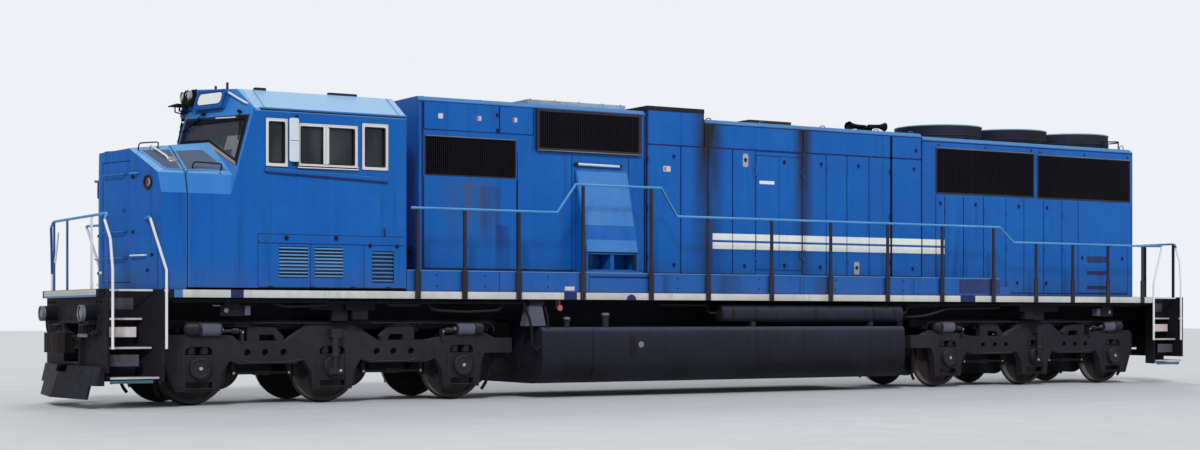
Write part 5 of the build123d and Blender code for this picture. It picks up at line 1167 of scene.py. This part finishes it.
def rear_end():
    """Rear hood face: door, lamps, boards, grab irons and corner strips."""
    dark, white, face, glassy, bezel, pale = several(6)
    back = backward(HOOD_REAR_X)
    dark.rim(rect(-0.42, 0.42, 1.75, 3.85, 0.05), back, 0.016, -0.001, 0.006)
    for z in (2.1, 2.8, 3.5):
        dark.rod(back(-0.44, z - 0.06, 0.012), back(-0.44, z + 0.06, 0.012), 0.014, 8)
    latch(dark, back, 0.33, 2.75)
    dark.rim(rect(-0.9, 0.9, 1.66, 4.02, 0.02), back, 0.012, -0.001, 0.003)
    for z in (2.0, 2.35, 2.7, 3.05, 3.4, 3.75):
        white.grab(back, ((0.56, z), (0.86, z)), 0.07, 0.013)
    for y in (-0.14, 0.14):
        place = back(y, 4.26, 0.088)
        bezel.turn([(0.112, -0.02), (0.112, 0.018), (0.104, 0.024), (0.094, 0.012), (0.094, -0.04)], place,
                   (1, 0, 0), 28)
        glassy.turn([(0.094, -0.03), (0.075, -0.016), (0.04, -0.01), (0, -0.008)], place, (1, 0, 0))
    for y in (-0.65, 0.65):
        face.prism(rect(y - 0.19, y + 0.19, 4.145, 4.325, 0.05, 5), back, 0.059, 0.066)
        pale.rim(rect(y - 0.23, y + 0.23, 4.11, 4.36), back, 0.02, 0.058, 0.072)
    # light strips up the rear corners: painted highlights of the rounded corners
    for y in (-0.952, 0.952):
        pale.box(9.688, 9.702, y, y * 0.99, 1.66, 4.4, 0.002)
    dark.finish("rear_seams", "seam_black", "grille_paint")
    white.finish("rear_irons", "rail_white", "board_face")
    face.finish("rear_board_faces", "board_white", "board_face")
    glassy.finish("rear_lenses", "lamp_glass", "lamp_metal")
    bezel.finish("rear_bezels", "bright_steel", "lamp_metal")
    pale.finish("rear_edges", "worn_and_highlit_edge", "blue_paint")


rear_end()


def platforms():
    """Lamps, pipe couplings, levers, risers and rail ends of both ends."""
    dark, bright, glassy, white, teal, riser, pale_riser, ties = several(8)
    place = (-END_X - 0.2, -1.03, 1.29)
    bright.turn([(0.112, -0.03), (0.112, 0.026), (0.104, 0.034), (0.094, 0.022), (0.094, 0)], place,
                (-1, 0, 0), 28)
    glassy.turn([(0.094, 0), (0.08, 0.014), (0.045, 0.024), (0, 0.027)], place, (-1, 0, 0))
    dark.box(-END_X - 0.12, -END_X, -1.08, -0.98, 1.13, 1.2, 0.006)
    for end in (-1, 1):
        # risers behind the steps, columns: y, low, high, piece; and the brace under the lowest step
        for y, z0, z1, target in ((-1.085, 1.34, 1.5, riser), (-1.225, 0.96, 1.1, pale_riser),
                                  (-1.345, 0.56, 0.72, riser)):
            target.box(end * 9.96, end * 10.36, y - 0.006, y + 0.006, z0, z1, 0.003)
        teal.box(end * 10.4, end * 9.8, -1.49, -1.46, 0.33, 0.375, 0.006)
        teal.tube([(end * 10.38, -1.44, 0.34), (end * 9.95, -1.3, 0.375)], 0.018, 8)
        # uncoupling lever across each end, pipe couplings and their cocks
        x = end * (END_X + 0.055)
        dark.path([(x, -1.38, 1.25), (x, -1.3, 1.02), (x, -0.62, 0.99), (x, -0.25, 0.965),
                   (x + end * 0.04, -0.05, 0.95)], 0.014, 0.06)
        for y in (-1.15, -0.55):
            dark.box(x - 0.03, x + 0.03, y - 0.02, y + 0.02, 0.97, 1.05)
        for y in (-0.62, -0.72, -0.82, -0.92):
            dark.rod((end * END_X, y, 1.12), (end * (END_X + 0.07), y, 1.12), 0.022, 12)
            dark.path([(end * (END_X + 0.06), y, 1.12), (end * (END_X + 0.1), y, 1.12),
                       (end * (END_X + 0.11), y, 1.0)], 0.017, 0.04)
            bright.box(end * (END_X + 0.085), end * (END_X + 0.135), y - 0.026, y + 0.026, 0.955, 1.005, 0.008)
        dark.box(end * END_X, end * (END_X + 0.03), -1.0, -0.55, 1.07, 1.17)
        dark.bolts(forward(-END_X) if end < 0 else backward(END_X),
                   [(-1.42 + 0.12 * i, z) for i in range(4) for z in (0.52, 1.45)])
        # ends of the top rails, down to the step rails
        ties.path([(end * 10.405, -1.32, 2.65), (end * 10.41, -1.37, 2.64), (end * 10.44, -1.37, 2.57)],
                  0.019, 0.03, 10)
    # ties from the tops of the inner step rails to the nose and to the rear hood
    ties.path([(-9.865, -1.543, 2.59), (-9.865, -1.5, 2.605), on_nose(-1.13, 2.6, 0)], 0.019, 0.05, 10)
    ties.tube([(9.865, -1.543, 2.59), (9.72, -1.1, 2.605)], 0.019)
    # bars across the front railing
    white.tube([(-10.41, 1.077, 2.487), (-10.41, 1.259, 2.036)], 0.014, 8)
    for y in (-1.02, -0.8):
        white.tube([(-10.44, y, 1.66), (-10.44, y, 1.7)], 0.01, 6)
    dark.pair("end_fittings", "frame_black", "frame_paint")
    bright.pair("end_couplings", "dusty_metal", "lamp_metal")
    glassy.pair("ditch_lenses", "ditch_lens", "lamp_metal")
    white.finish("front_bars", "rail_white", "rail_paint")
    teal.pair("step_braces", "teal_grey", "frame_paint")
    riser.pair("step_risers", "riser_grey", "frame_paint")
    pale_riser.pair("step_plates", "label_pale", "frame_paint")
    ties.pair("rail_ties", "rail_blue", "rail_paint")


platforms()


# Trucks

def truck_details(end, word):
    """Caps, springs, bolts, pipes and brake fittings of one truck."""
    cast, bright, pale, pipe = several(4)
    side = left(1.085)
    outwards = (0, -1, 0)
    for d in AXLES:
        x = -TRUCK_X - d
        face = (x, -1.15, AXLE_Z)
        cast.turn([(0.146, -0.004), (0.152, 0.002), (0.146, 0.01), (0.112, 0.01), (0.104, 0.003),
                   (0.075, 0.006), (0, 0.006)], face, outwards, 30)
        bright.turn([(0.026, 0.004), (0.026, 0.018), (0.014, 0.022), (0, 0.022)], face, outwards, 12)
        for c, s in round_about(6, 0.3):
            cast.bolt((x + 0.129 * c, -1.158, AXLE_Z + 0.129 * s), outwards, 0.012)
        for dx in (-0.098, 0.098):
            cast.coil((x + dx, -1.01, 0.694), 0.056, 0.011, 0.12, 4)
        for away in (-0.226, 0.226):
            cast.prism(rect(x + away - 0.022, x + away + 0.022, 0.34, 0.68, 0.008), side, -0.001, 0.01)
            cast.bolts(side, [(x + away * 1.3, 0.25), (x + away * 1.02, 0.23)], 0.016)
        cast.box(x - 0.205, x + 0.205, -1.082, -1.055, 0.212, 0.226)
    # raised rims along the frame's lower edge: distance from the centre, height
    for flip in (1, -1):
        cast.path([side(-TRUCK_X + flip * d - 0.05, z, 0) for d, z in (
            (-1.4, 0.62), (-1.2, 0.582), (-0.72, 0.582), (-0.5, 0.62))], 0.012, 0.1, 6)
    # dark discs deep in the holes of the low webs: painted shade inside the holes
    for d in (1.351, 1.086, 0.805, -0.661, -0.934, -1.221):
        pipe.turn([(0.051, -0.12), (0.051, -0.09), (0, -0.09)], side(-TRUCK_X - d, 0.727, 0), outwards, 20)
    # brake cylinders: pale sleeve, bolted flange, fork and pin; columns: open end, end of the rod, direction
    for opened, rod_end, way in ((-8.704, -8.387, 1), (-4.99, -5.207, -1)):
        y, z, along = -1.1, 1.06, (way, 0, 0)
        pale.turn([(0.0865, 0), (0.091, 0.006), (0.091, 0.27), (0.0865, 0.276)], (opened - way * 0.3, y, z),
                  along, 28)
        cast.turn([(0.086, 0), (0.104, 0.004), (0.104, 0.026), (0.086, 0.03)], (opened - way * 0.335, y, z),
                  along, 28)
        for c, s in round_about(8):
            cast.bolt((opened - way * 0.305, y + 0.096 * c, z + 0.096 * s), along, 0.008)
        bright.turn([(0.03, 0), (0.03, 0.03), (0, 0.035)], (opened, y, z), along, 14)
        cast.turn([(0.022, 0), (0.04, 0.01), (0.04, 0.1), (0.022, 0.12)], (rod_end - way * 0.16, y, z - 0.025),
                  along, 16)
        bright.turn([(0.014, 0), (0.014, 0.01), (0, 0.012)], (rod_end, y - 0.021, z - 0.04), outwards, 10)
    # thin pipe along the top, cranked down at its rear end
    pipe.path([(-9.24, -1.12, 1.15), (-4.46, -1.12, 1.15), (-4.36, -1.12, 1.12), (-4.34, -1.12, 1.02)],
              0.013, 0.08)
    for x in (-8.9, -8.1, -7.55, -6.35, -5.6, -5.0):
        pipe.box(x - 0.02, x + 0.02, -1.135, -1.075, 1.13, 1.168, 0.003)
    # sand pipes at both ends, hung from the frame
    for points in ([(-9.52, -0.9, 0.69), (-9.6, -0.86, 0.45), (-9.55, -0.76, 0.2), (-9.49, -0.75, 0.12)],
                   [(-4.2, -0.9, 0.7), (-4.26, -0.86, 0.45), (-4.31, -0.76, 0.2), (-4.37, -0.75, 0.12)]):
        pipe.path(points, 0.026, 0.1)
    # beams across between the axles, with the rods that hold the motors' noses
    for x in (-8.03, -5.9):
        pipe.box(x - 0.3, x + 0.3, -0.6, 0.0, 0.4, 0.66, 0.02)
        pipe.box(x - 0.12, x + 0.12, -0.96, 0.0, 0.62, 0.8, 0.02)
    # cable trays along the inner faces of the frames, on brackets
    pipe.box(-9.46, -4.18, -0.87, -0.805, 1.06, 1.19, 0.006)
    for x in (-9.3, -8.3, -7.4, -6.5, -5.6, -4.4):
        pipe.box(x - 0.03, x + 0.03, -1.0, -0.81, 1.02, 1.075)
    # air ducts with their bellows over the motors, columns: front x, rear x
    for x0, x1 in ((-9.34, -8.13), (-5.82, -5.02), (-4.98, -4.12)):
        pipe.box(x0, x1, -0.42, 0.0, 0.9, 1.05, 0.01)
        for i in range(4):
            pipe.box(x0 + 0.02, x1 - 0.02, -0.45, 0.0, 1.048 + 0.021 * i, 1.062 + 0.021 * i, 0.005)
        pipe.box(x0 + 0.04, x1 - 0.04, -0.42, 0.0, 1.05, 1.12, 0.0)
    # dampers' sleeves, eyes and nuts
    x = -TRUCK_X - 0.048
    cast.turn([(0.052, 0), (0.056, 0.01), (0.056, 0.05), (0.052, 0.06)], (x, -1.195, 0.655), (0, 0, 1), 20)
    bright.turn([(0.02, 0), (0.02, 0.02), (0, 0.024)], (x + 0.06, -1.236, 0.455), outwards, 12)
    cast.bolts(left(1.24), [(x - 0.05, 1.03), (x + 0.05, 1.03)])
    # brake pins and slack adjusters between the wheels
    for x in (-8.427, -7.585, -6.405, -5.467):
        bright.turn([(0.018, 0), (0.018, 0.008), (0, 0.01)], (x, -0.861, 0.43), outwards, 10)
    for x in (-8.0, -5.93):
        cast.turn([(0.018, 0), (0.034, 0.01), (0.034, 0.25), (0.018, 0.26)], (x - 0.13, -0.8325, 0.43),
                  (1, 0, 0), 14)
    cast.plates(left(0.99), -0.1, 0.06, ((-8.62, -8.14, 1.098, 1.118, 0.008),
                                         (-6.1, -5.62, 1.098, 1.118, 0.008)))
    for x in (-8.36, -5.86):
        cast.box(x - 0.13, x + 0.13, -1.06, -0.94, 1.085, 1.15, 0.012)
    for piece, label, material in ((cast, "castings", "cast_steel"), (bright, "pins", "bright_steel"),
                                   (pale, "sleeves", "sleeve_grey"), (pipe, "pipes", "frame_black")):
        piece.flipped(-end, 1).pair(word + "_truck_" + label, material, "cast_frame", word + "_truck")


for end, word in ENDS:
    truck_details(end, word)


def wheel_details():
    """Hub rings and bolts on each wheel's outer face, which show between the frames."""
    for number, x in enumerate([-TRUCK_X - d for d in AXLES] + [TRUCK_X + d for d in reversed(AXLES)], 1):
        ring = Piece()
        for way in (-1, 1):
            ring.turn([(0.15, -0.02), (0.154, -0.01), (0.15, 0.002), (0.12, 0.004), (0.1, 0.0)],
                      (x, way * 0.8365, AXLE_Z), (0, way, 0), 28)
            for c, s in round_about(6):
                ring.bolt((x + 0.125 * c, way * 0.8385, AXLE_Z + 0.125 * s), (0, way, 0), 0.012)
        ring.finish("wheelset_%d_hubs" % number, "wheel_brown", "wheel_steel", "wheelset_%d" % number)


wheel_details()


# Under the sills

def tank_details():
    """Welds, gauge, caps and pipes of the tank, reservoir bands and the gear beside them."""
    weld, dark, pale, bright = several(4)
    outwards = (0, -1, 0)
    weld.plates(TANK, -0.001, 0.003, [(x - 0.006, x + 0.006, 0.56, 0.975)
                                      for x in (-3.69, -1.3, 0.2, 1.75, 3.515)])
    weld.prism(rect(-3.7, 3.53, 0.955, 0.967), TANK, -0.001, 0.002)
    dark.prism(rect(-2.1, -2.0, 0.62, 0.94, 0.03), TANK, -0.001, 0.012)
    bright.turn([(0.05, 0), (0.05, 0.012), (0.04, 0.016), (0, 0.016)], TANK(-1.9, 0.8, 0), outwards, 18)
    for x, y, z, radius in ((-2.49, -1.37, 1.27, 0.067), (-3.207, -1.4, 1.205, 0.054)):
        bright.turn([(radius, 0), (radius, 0.02), (radius * 0.7, 0.035), (0, 0.035)], (x, y, z), (0, 0, 1), 18)
    for x in (-0.07, 0.38, 1.63, 2.88, 3.34):
        dark.turn([(0.1455, 0), (0.152, 0.002), (0.152, 0.04), (0.1455, 0.042)], (x, -1.29, 1.303),
                  (1, 0, 0), 28)
    for x, way in ((-0.25, -1), (3.54, 1)):
        dark.turn([(0.145, 0), (0.13, 0.022), (0.085, 0.04), (0, 0.05)], (x, -1.29, 1.303), (way, 0, 0), 28)
        bright.rod((x, -1.29, 1.303), (x + way * 0.075, -1.29, 1.303), 0.018, 8)
    # ducts under the middle of the frame, columns: front x, rear x, low
    for x0, x1, low in ((-9.6, -7.44, 1.146), (-6.48, -3.5, 1.146), (3.5, 6.48, 1.146), (7.44, 9.6, 1.146),
                        (-4.08, -3.76, 0.6), (3.56, 3.95, 0.6)):
        dark.box(x0, x1, -0.56, 0.0, low, 1.21, 0.01)
    for x in (-3.74, 3.6):
        dark.box(x, x + 0.14, -1.2, -0.5, 1.02, 1.3, 0.01)
    # box with its tapered foot at the tank's front end
    dark.prism([(-3.92, 1.5), (-3.62, 1.5), (-3.66, 1.42), (-3.88, 1.42)], left(1.46), -0.18, 0.0)
    pale.prism([(-3.88, 1.42), (-3.67, 1.42), (-3.6, 1.1), (-3.95, 1.1)], left(1.44), -0.2, -0.01)
    # bent pipes, columns: bend, points of an arc, points
    for corner, steps, points in (
            (0.06, 4, [(-0.3, -1.29, 1.303), (-0.48, -1.29, 1.303), (-0.48, -1.29, 1.43), (-1.4, -1.29, 1.43),
                       (-1.4, -1.2, 1.47)]),
            (0.08, 4, [(3.6, -1.29, 1.303), (3.72, -1.29, 1.303), (3.8, -1.25, 1.42), (5.2, -1.25, 1.455),
                       (5.8, -1.1, 1.455)]),
            (0.12, 5, [(-8.15, -1.36, 1.5), (-7.9, -1.36, 1.38), (-7.2, -1.36, 1.4), (-7.05, -1.36, 1.5)]),
            (0.12, 5, [(-6.3, -1.38, 1.5), (-6.24, -1.38, 1.41), (-5.72, -1.38, 1.41), (-5.66, -1.38, 1.5)]),
            (0.12, 5, [(3.73, -1.18, 1.24), (4.0, -1.28, 1.24), (4.3, -1.34, 1.29), (4.6, -1.34, 1.38),
                       (5.85, -1.34, 1.4), (5.95, -1.34, 1.5)])):
        dark.path(points, 0.02, corner, steps=steps)
    for points in ([(-3.62, -1.42, 1.4), (-3.56, -1.44, 1.2), (-3.6, -1.46, 0.92), (-3.76, -1.4, 0.7)],
                   [(-4.02, -1.44, 1.5), (-3.87, -1.46, 1.15), (-3.86, -1.46, 0.8), (-3.68, -1.42, 0.66)],
                   [(-5.6, -1.33, 1.5), (-5.5, -1.33, 1.34), (-4.9, -1.33, 1.31), (-4.35, -1.33, 1.34),
                    (-4.25, -1.33, 1.5)]):
        dark.path(points, 0.018, 0.2, steps=6)
    # pipes along under the sill, columns: y, height, x0, x1, radius
    for y, z, x0, x1, radius in ((-1.42, 1.478, -9.6, -7.2, 0.013), (-1.38, 1.455, -9.5, -3.9, 0.018),
                                 (-1.32, 1.46, 3.7, 9.5, 0.018), (-1.42, 1.478, 6.0, 9.6, 0.013)):
        dark.tube([(x0, y, z), (x1, y, z)], radius, 8)
        for i in range(int((x1 - x0) / 0.9)):
            x = x0 + 0.4 + 0.9 * i
            dark.box(x - 0.015, x + 0.015, y - 0.02, y + 0.02, z, 1.507, 0.003)
    # round windows and bolts of the boxes
    for end in (-1, 1):
        bright.turn([(0.034, 0), (0.034, 0.006), (0.024, 0.008), (0, 0.008)], (end * 8.7, -1.31, 1.33),
                    outwards, 16)
        dark.bolts(left(1.31), [(end * x, 1.385) for x in (8.48, 8.75, 6.45, 6.84)], 0.01)
        pale.box(end * 8.43, end * 8.35, -1.34, -1.2, 1.26, 1.4, 0.006)
    bright.box(-8.93, -8.83, -1.43, -1.4, 1.39, 1.402, 0.003)
    weld.pair("tank_welds", "tank_black", "tank_paint")
    dark.pair("under_pipes", "frame_black", "frame_paint")
    pale.pair("under_boxes", "sleeve_grey", "frame_paint")
    bright.pair("under_brights", "dusty_metal", "lamp_metal")


tank_details()


def coupler_details():
    """Cast lines, pins and the lock lifter on each coupler head."""
    for end, word in ENDS:
        lines = Piece()
        tip = end * 10.816
        pin, lock = tip - end * 0.14, tip - end * 0.22
        lines.rod((pin, end * -0.1, 0.725), (pin, end * -0.1, 1.032), 0.028)
        lines.box(tip - end * 0.3, tip - end * 0.1, -0.07, 0.07, 1.014, 1.03, 0.006)
        lines.rod((lock, 0, 1.01), (lock, 0, 1.06), 0.022, 10)
        lines.tube([(lock, 0, 1.05), (lock, 0.1, 1.05)], 0.01, 6)
        for z in (0.8, 0.95):
            lines.box(tip - end * 0.32, tip - end * 0.5, -0.068, 0.068, z - 0.008, z + 0.008, 0.003)
        lines.finish(word + "_coupler_lines", "coupler_rust", "coupler_steel", word + "_coupler_body")


coupler_details()


# Inside the cab

def seats():
    """Padded seats in cloth, on their pedestals."""
    steel = Piece()
    for side, word in SIDES:
        y = side * 0.85
        steel.rod((-7.15, y, 1.95), (-7.15, y, 2.34), 0.06, 20)
        steel.turn([(0.16, 0), (0.16, 0.012), (0.07, 0.03)], (-7.15, y, 1.95), (0, 0, 1))
        steel.box(-7.38, -6.92, y - 0.22, y + 0.22, 2.33, 2.352, 0.006)
        steel.box(-6.885, -6.862, y - 0.2, y + 0.2, 2.36, 3.1, 0.006)
        for arm in (-0.26, 0.26):
            steel.path([(-6.9, y + arm * 0.88, 2.72), (-6.95, y + arm * 0.9, 2.72),
                        (-7.22, y + arm * 0.9, 2.72)], 0.016, 0.03)
        # pads of one seat, columns: name, x0, x1, half width, low, high
        for label, x0, x1, half, low, high in (("cushion", -7.4, -6.9, 0.238, 2.352, 2.468),
                                               ("back", -6.96, -6.884, 0.228, 2.48, 3.148)):
            pad(label + "_" + word, x0, x1, y - half, y + half, low, high)
    steel.finish("seat_frames", "grille_black", "frame_paint")


def pad(name, x0, x1, y0, y1, z0, z1):
    """Upholstered pad, blown up as cloth from a thin form."""
    bm = bmesh.new()
    bmesh.ops.create_cube(bm, size=1.0)
    size = Vector((x1 - x0, y1 - y0, z1 - z0))
    slack = (0.9, 0.93, 0.62) if size.z < 0.3 else (0.62, 0.92, 0.95)
    bmesh.ops.scale(bm, vec=size * Vector(slack), verts=bm.verts)
    bmesh.ops.bevel(bm, geom=list(bm.edges), offset=0.018, segments=2, affect="EDGES")
    mesh = bpy.data.meshes.new(name)
    bm.to_mesh(mesh)
    bm.free()
    piece = bpy.data.objects.new(name, mesh)
    piece.location = ((x0 + x1) / 2, (y0 + y1) / 2, (z0 + z1) / 2 + RAIL_TOP)
    bpy.context.scene.collection.objects.link(piece)
    bpy.context.view_layer.objects.active = piece
    piece.select_set(True)
    remesh = piece.modifiers.new("remesh", "REMESH")
    remesh.mode = "VOXEL"
    remesh.voxel_size = 0.012
    bpy.ops.object.modifier_apply(modifier="remesh")
    blown = piece.modifiers.new("cloth", "CLOTH")
    for key, value in dict(use_pressure=True, uniform_pressure_force=4.0, mass=0.3, quality=5,
                           tension_stiffness=40.0, bending_stiffness=4.0).items():
        setattr(blown.settings, key, value)
    blown.settings.effector_weights.gravity = 0.0
    blown.point_cache.frame_start = 1
    blown.point_cache.frame_end = 14
    for frame_number in range(1, 15):
        bpy.context.scene.frame_set(frame_number)
    bpy.ops.object.modifier_apply(modifier="cloth")
    bpy.context.scene.frame_set(1)
    smooth = piece.modifiers.new("smooth", "SUBSURF")
    smooth.levels = 1
    bpy.ops.object.modifier_apply(modifier="smooth")
    # the form is kept within its place
    mesh = piece.data
    for vertex in mesh.vertices:
        vertex.co = [max(-h, min(h, c)) for c, h in zip(vertex.co, size / 2)]
    mesh.transform(Matrix.Translation(piece.location))
    piece.location = (0, 0, 0)
    mesh.materials.append(LOOKS["seat_cloth"])
    for polygon in mesh.polygons:
        polygon.use_smooth = True
    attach(piece, "carbody")
    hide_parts("crew_seats")
    piece.select_set(False)


seats()


def desks():
    """Plain dials and levers on the desks."""
    dark, pale = several(2)
    for y0, y1 in ((-1.33, -0.37), (0.27, 1.33)):
        for i in range(5):
            place = (-8.0, y0 + 0.15 + i * (y1 - y0 - 0.3) / 4, 2.87)
            dark.turn([(0.05, 0), (0.05, 0.012), (0.042, 0.016), (0.042, 0.01)], place, (0.59, 0, 0.81), 20)
            pale.turn([(0.042, 0), (0.042, 0.009), (0, 0.009)], place, (0.59, 0, 0.81), 20)
        for y, height in ((-0.2, 0.12), (0, 0.1), (0.2, 0.12)):
            y += (y0 + y1) / 2
            dark.rod((-7.9, y, 2.78), (-7.9, y, 2.78 + height), 0.01, 8)
            dark.turn([(0, 0), (0.022, 0.01), (0.022, 0.03), (0, 0.04)], (-7.9, y, 2.78 + height),
                      (0, 0, 1), 12)
    dark.finish("desk_controls", "grille_black", "desk_paint")
    pale.finish("desk_dials", "board_white", "board_face")


desks()


# Camera, light and floor

def stage():
    """Camera where the photographer stood, soft light and a pale floor."""
    scene = bpy.context.scene
    scene.view_settings.view_transform = "Standard"
    data = bpy.data.cameras.new("camera")
    # fitted to the photo, in its pixels: width, focal length, horizon below and middle row
    width, focal, horizon, middle = 1200, 1865, 317.5, 225.0
    data.sensor_fit = "HORIZONTAL"
    data.sensor_width = 36.0
    data.lens = 36.0 * focal / width
    data.shift_y = (horizon - middle) / width
    data.clip_end = 500.0
    camera = bpy.data.objects.new("camera", data)
    camera.location = (-17.77, -26.51, 1.23 + RAIL_TOP)
    camera.rotation_euler = (math.radians(90), 0, math.radians(58.87 - 90))
    scene.collection.objects.link(camera)
    scene.camera = camera

    ground = bmesh.new()
    bmesh.ops.create_grid(ground, x_segments=30, y_segments=30, size=150.0)
    mesh = bpy.data.meshes.new("floor")
    ground.to_mesh(mesh)
    ground.free()
    mesh.materials.append(floor_paint("floor_paint"))
    floor = bpy.data.objects.new("floor", mesh)
    scene.collection.objects.link(floor)

    # the sky looks brighter than it lights the scene
    world = bpy.data.worlds.new("sky")
    scene.world = world
    world.use_nodes = True
    tree = world.node_tree
    back = tree.nodes["Background"]
    path, seen, strength = [tree.nodes.new("ShaderNode" + kind) for kind in ("LightPath", "Math", "MapRange")]
    seen.operation = "MAXIMUM"
    tree.links.new(path.outputs["Is Camera Ray"], seen.inputs[0])
    tree.links.new(path.outputs["Is Transmission Ray"], seen.inputs[1])
    strength.inputs["To Min"].default_value = 0.5
    strength.inputs["To Max"].default_value = 0.92
    tree.links.new(seen.outputs[0], strength.inputs["Value"])
    tree.links.new(strength.outputs[0], back.inputs["Strength"])
    back.inputs["Color"].default_value = (0.93, 0.96, 1.0, 1.0)

    # lamps, columns: name, direction it comes from, strength, spread
    for name, spot, energy, spread in (("key", (-30, -42, 34), 1.75, 9.0), ("fill", (34, -34, 20), 0.35, 25.0),
                                       ("back", (20, 40, 30), 0.7, 20.0)):
        light = bpy.data.lights.new(name, "SUN")
        light.energy = energy
        light.angle = math.radians(spread)
        lamp = bpy.data.objects.new(name, light)
        lamp.rotation_euler = Vector(spot).to_track_quat("Z", "Y").to_euler()
        lamp.location = spot
        scene.collection.objects.link(lamp)


stage()
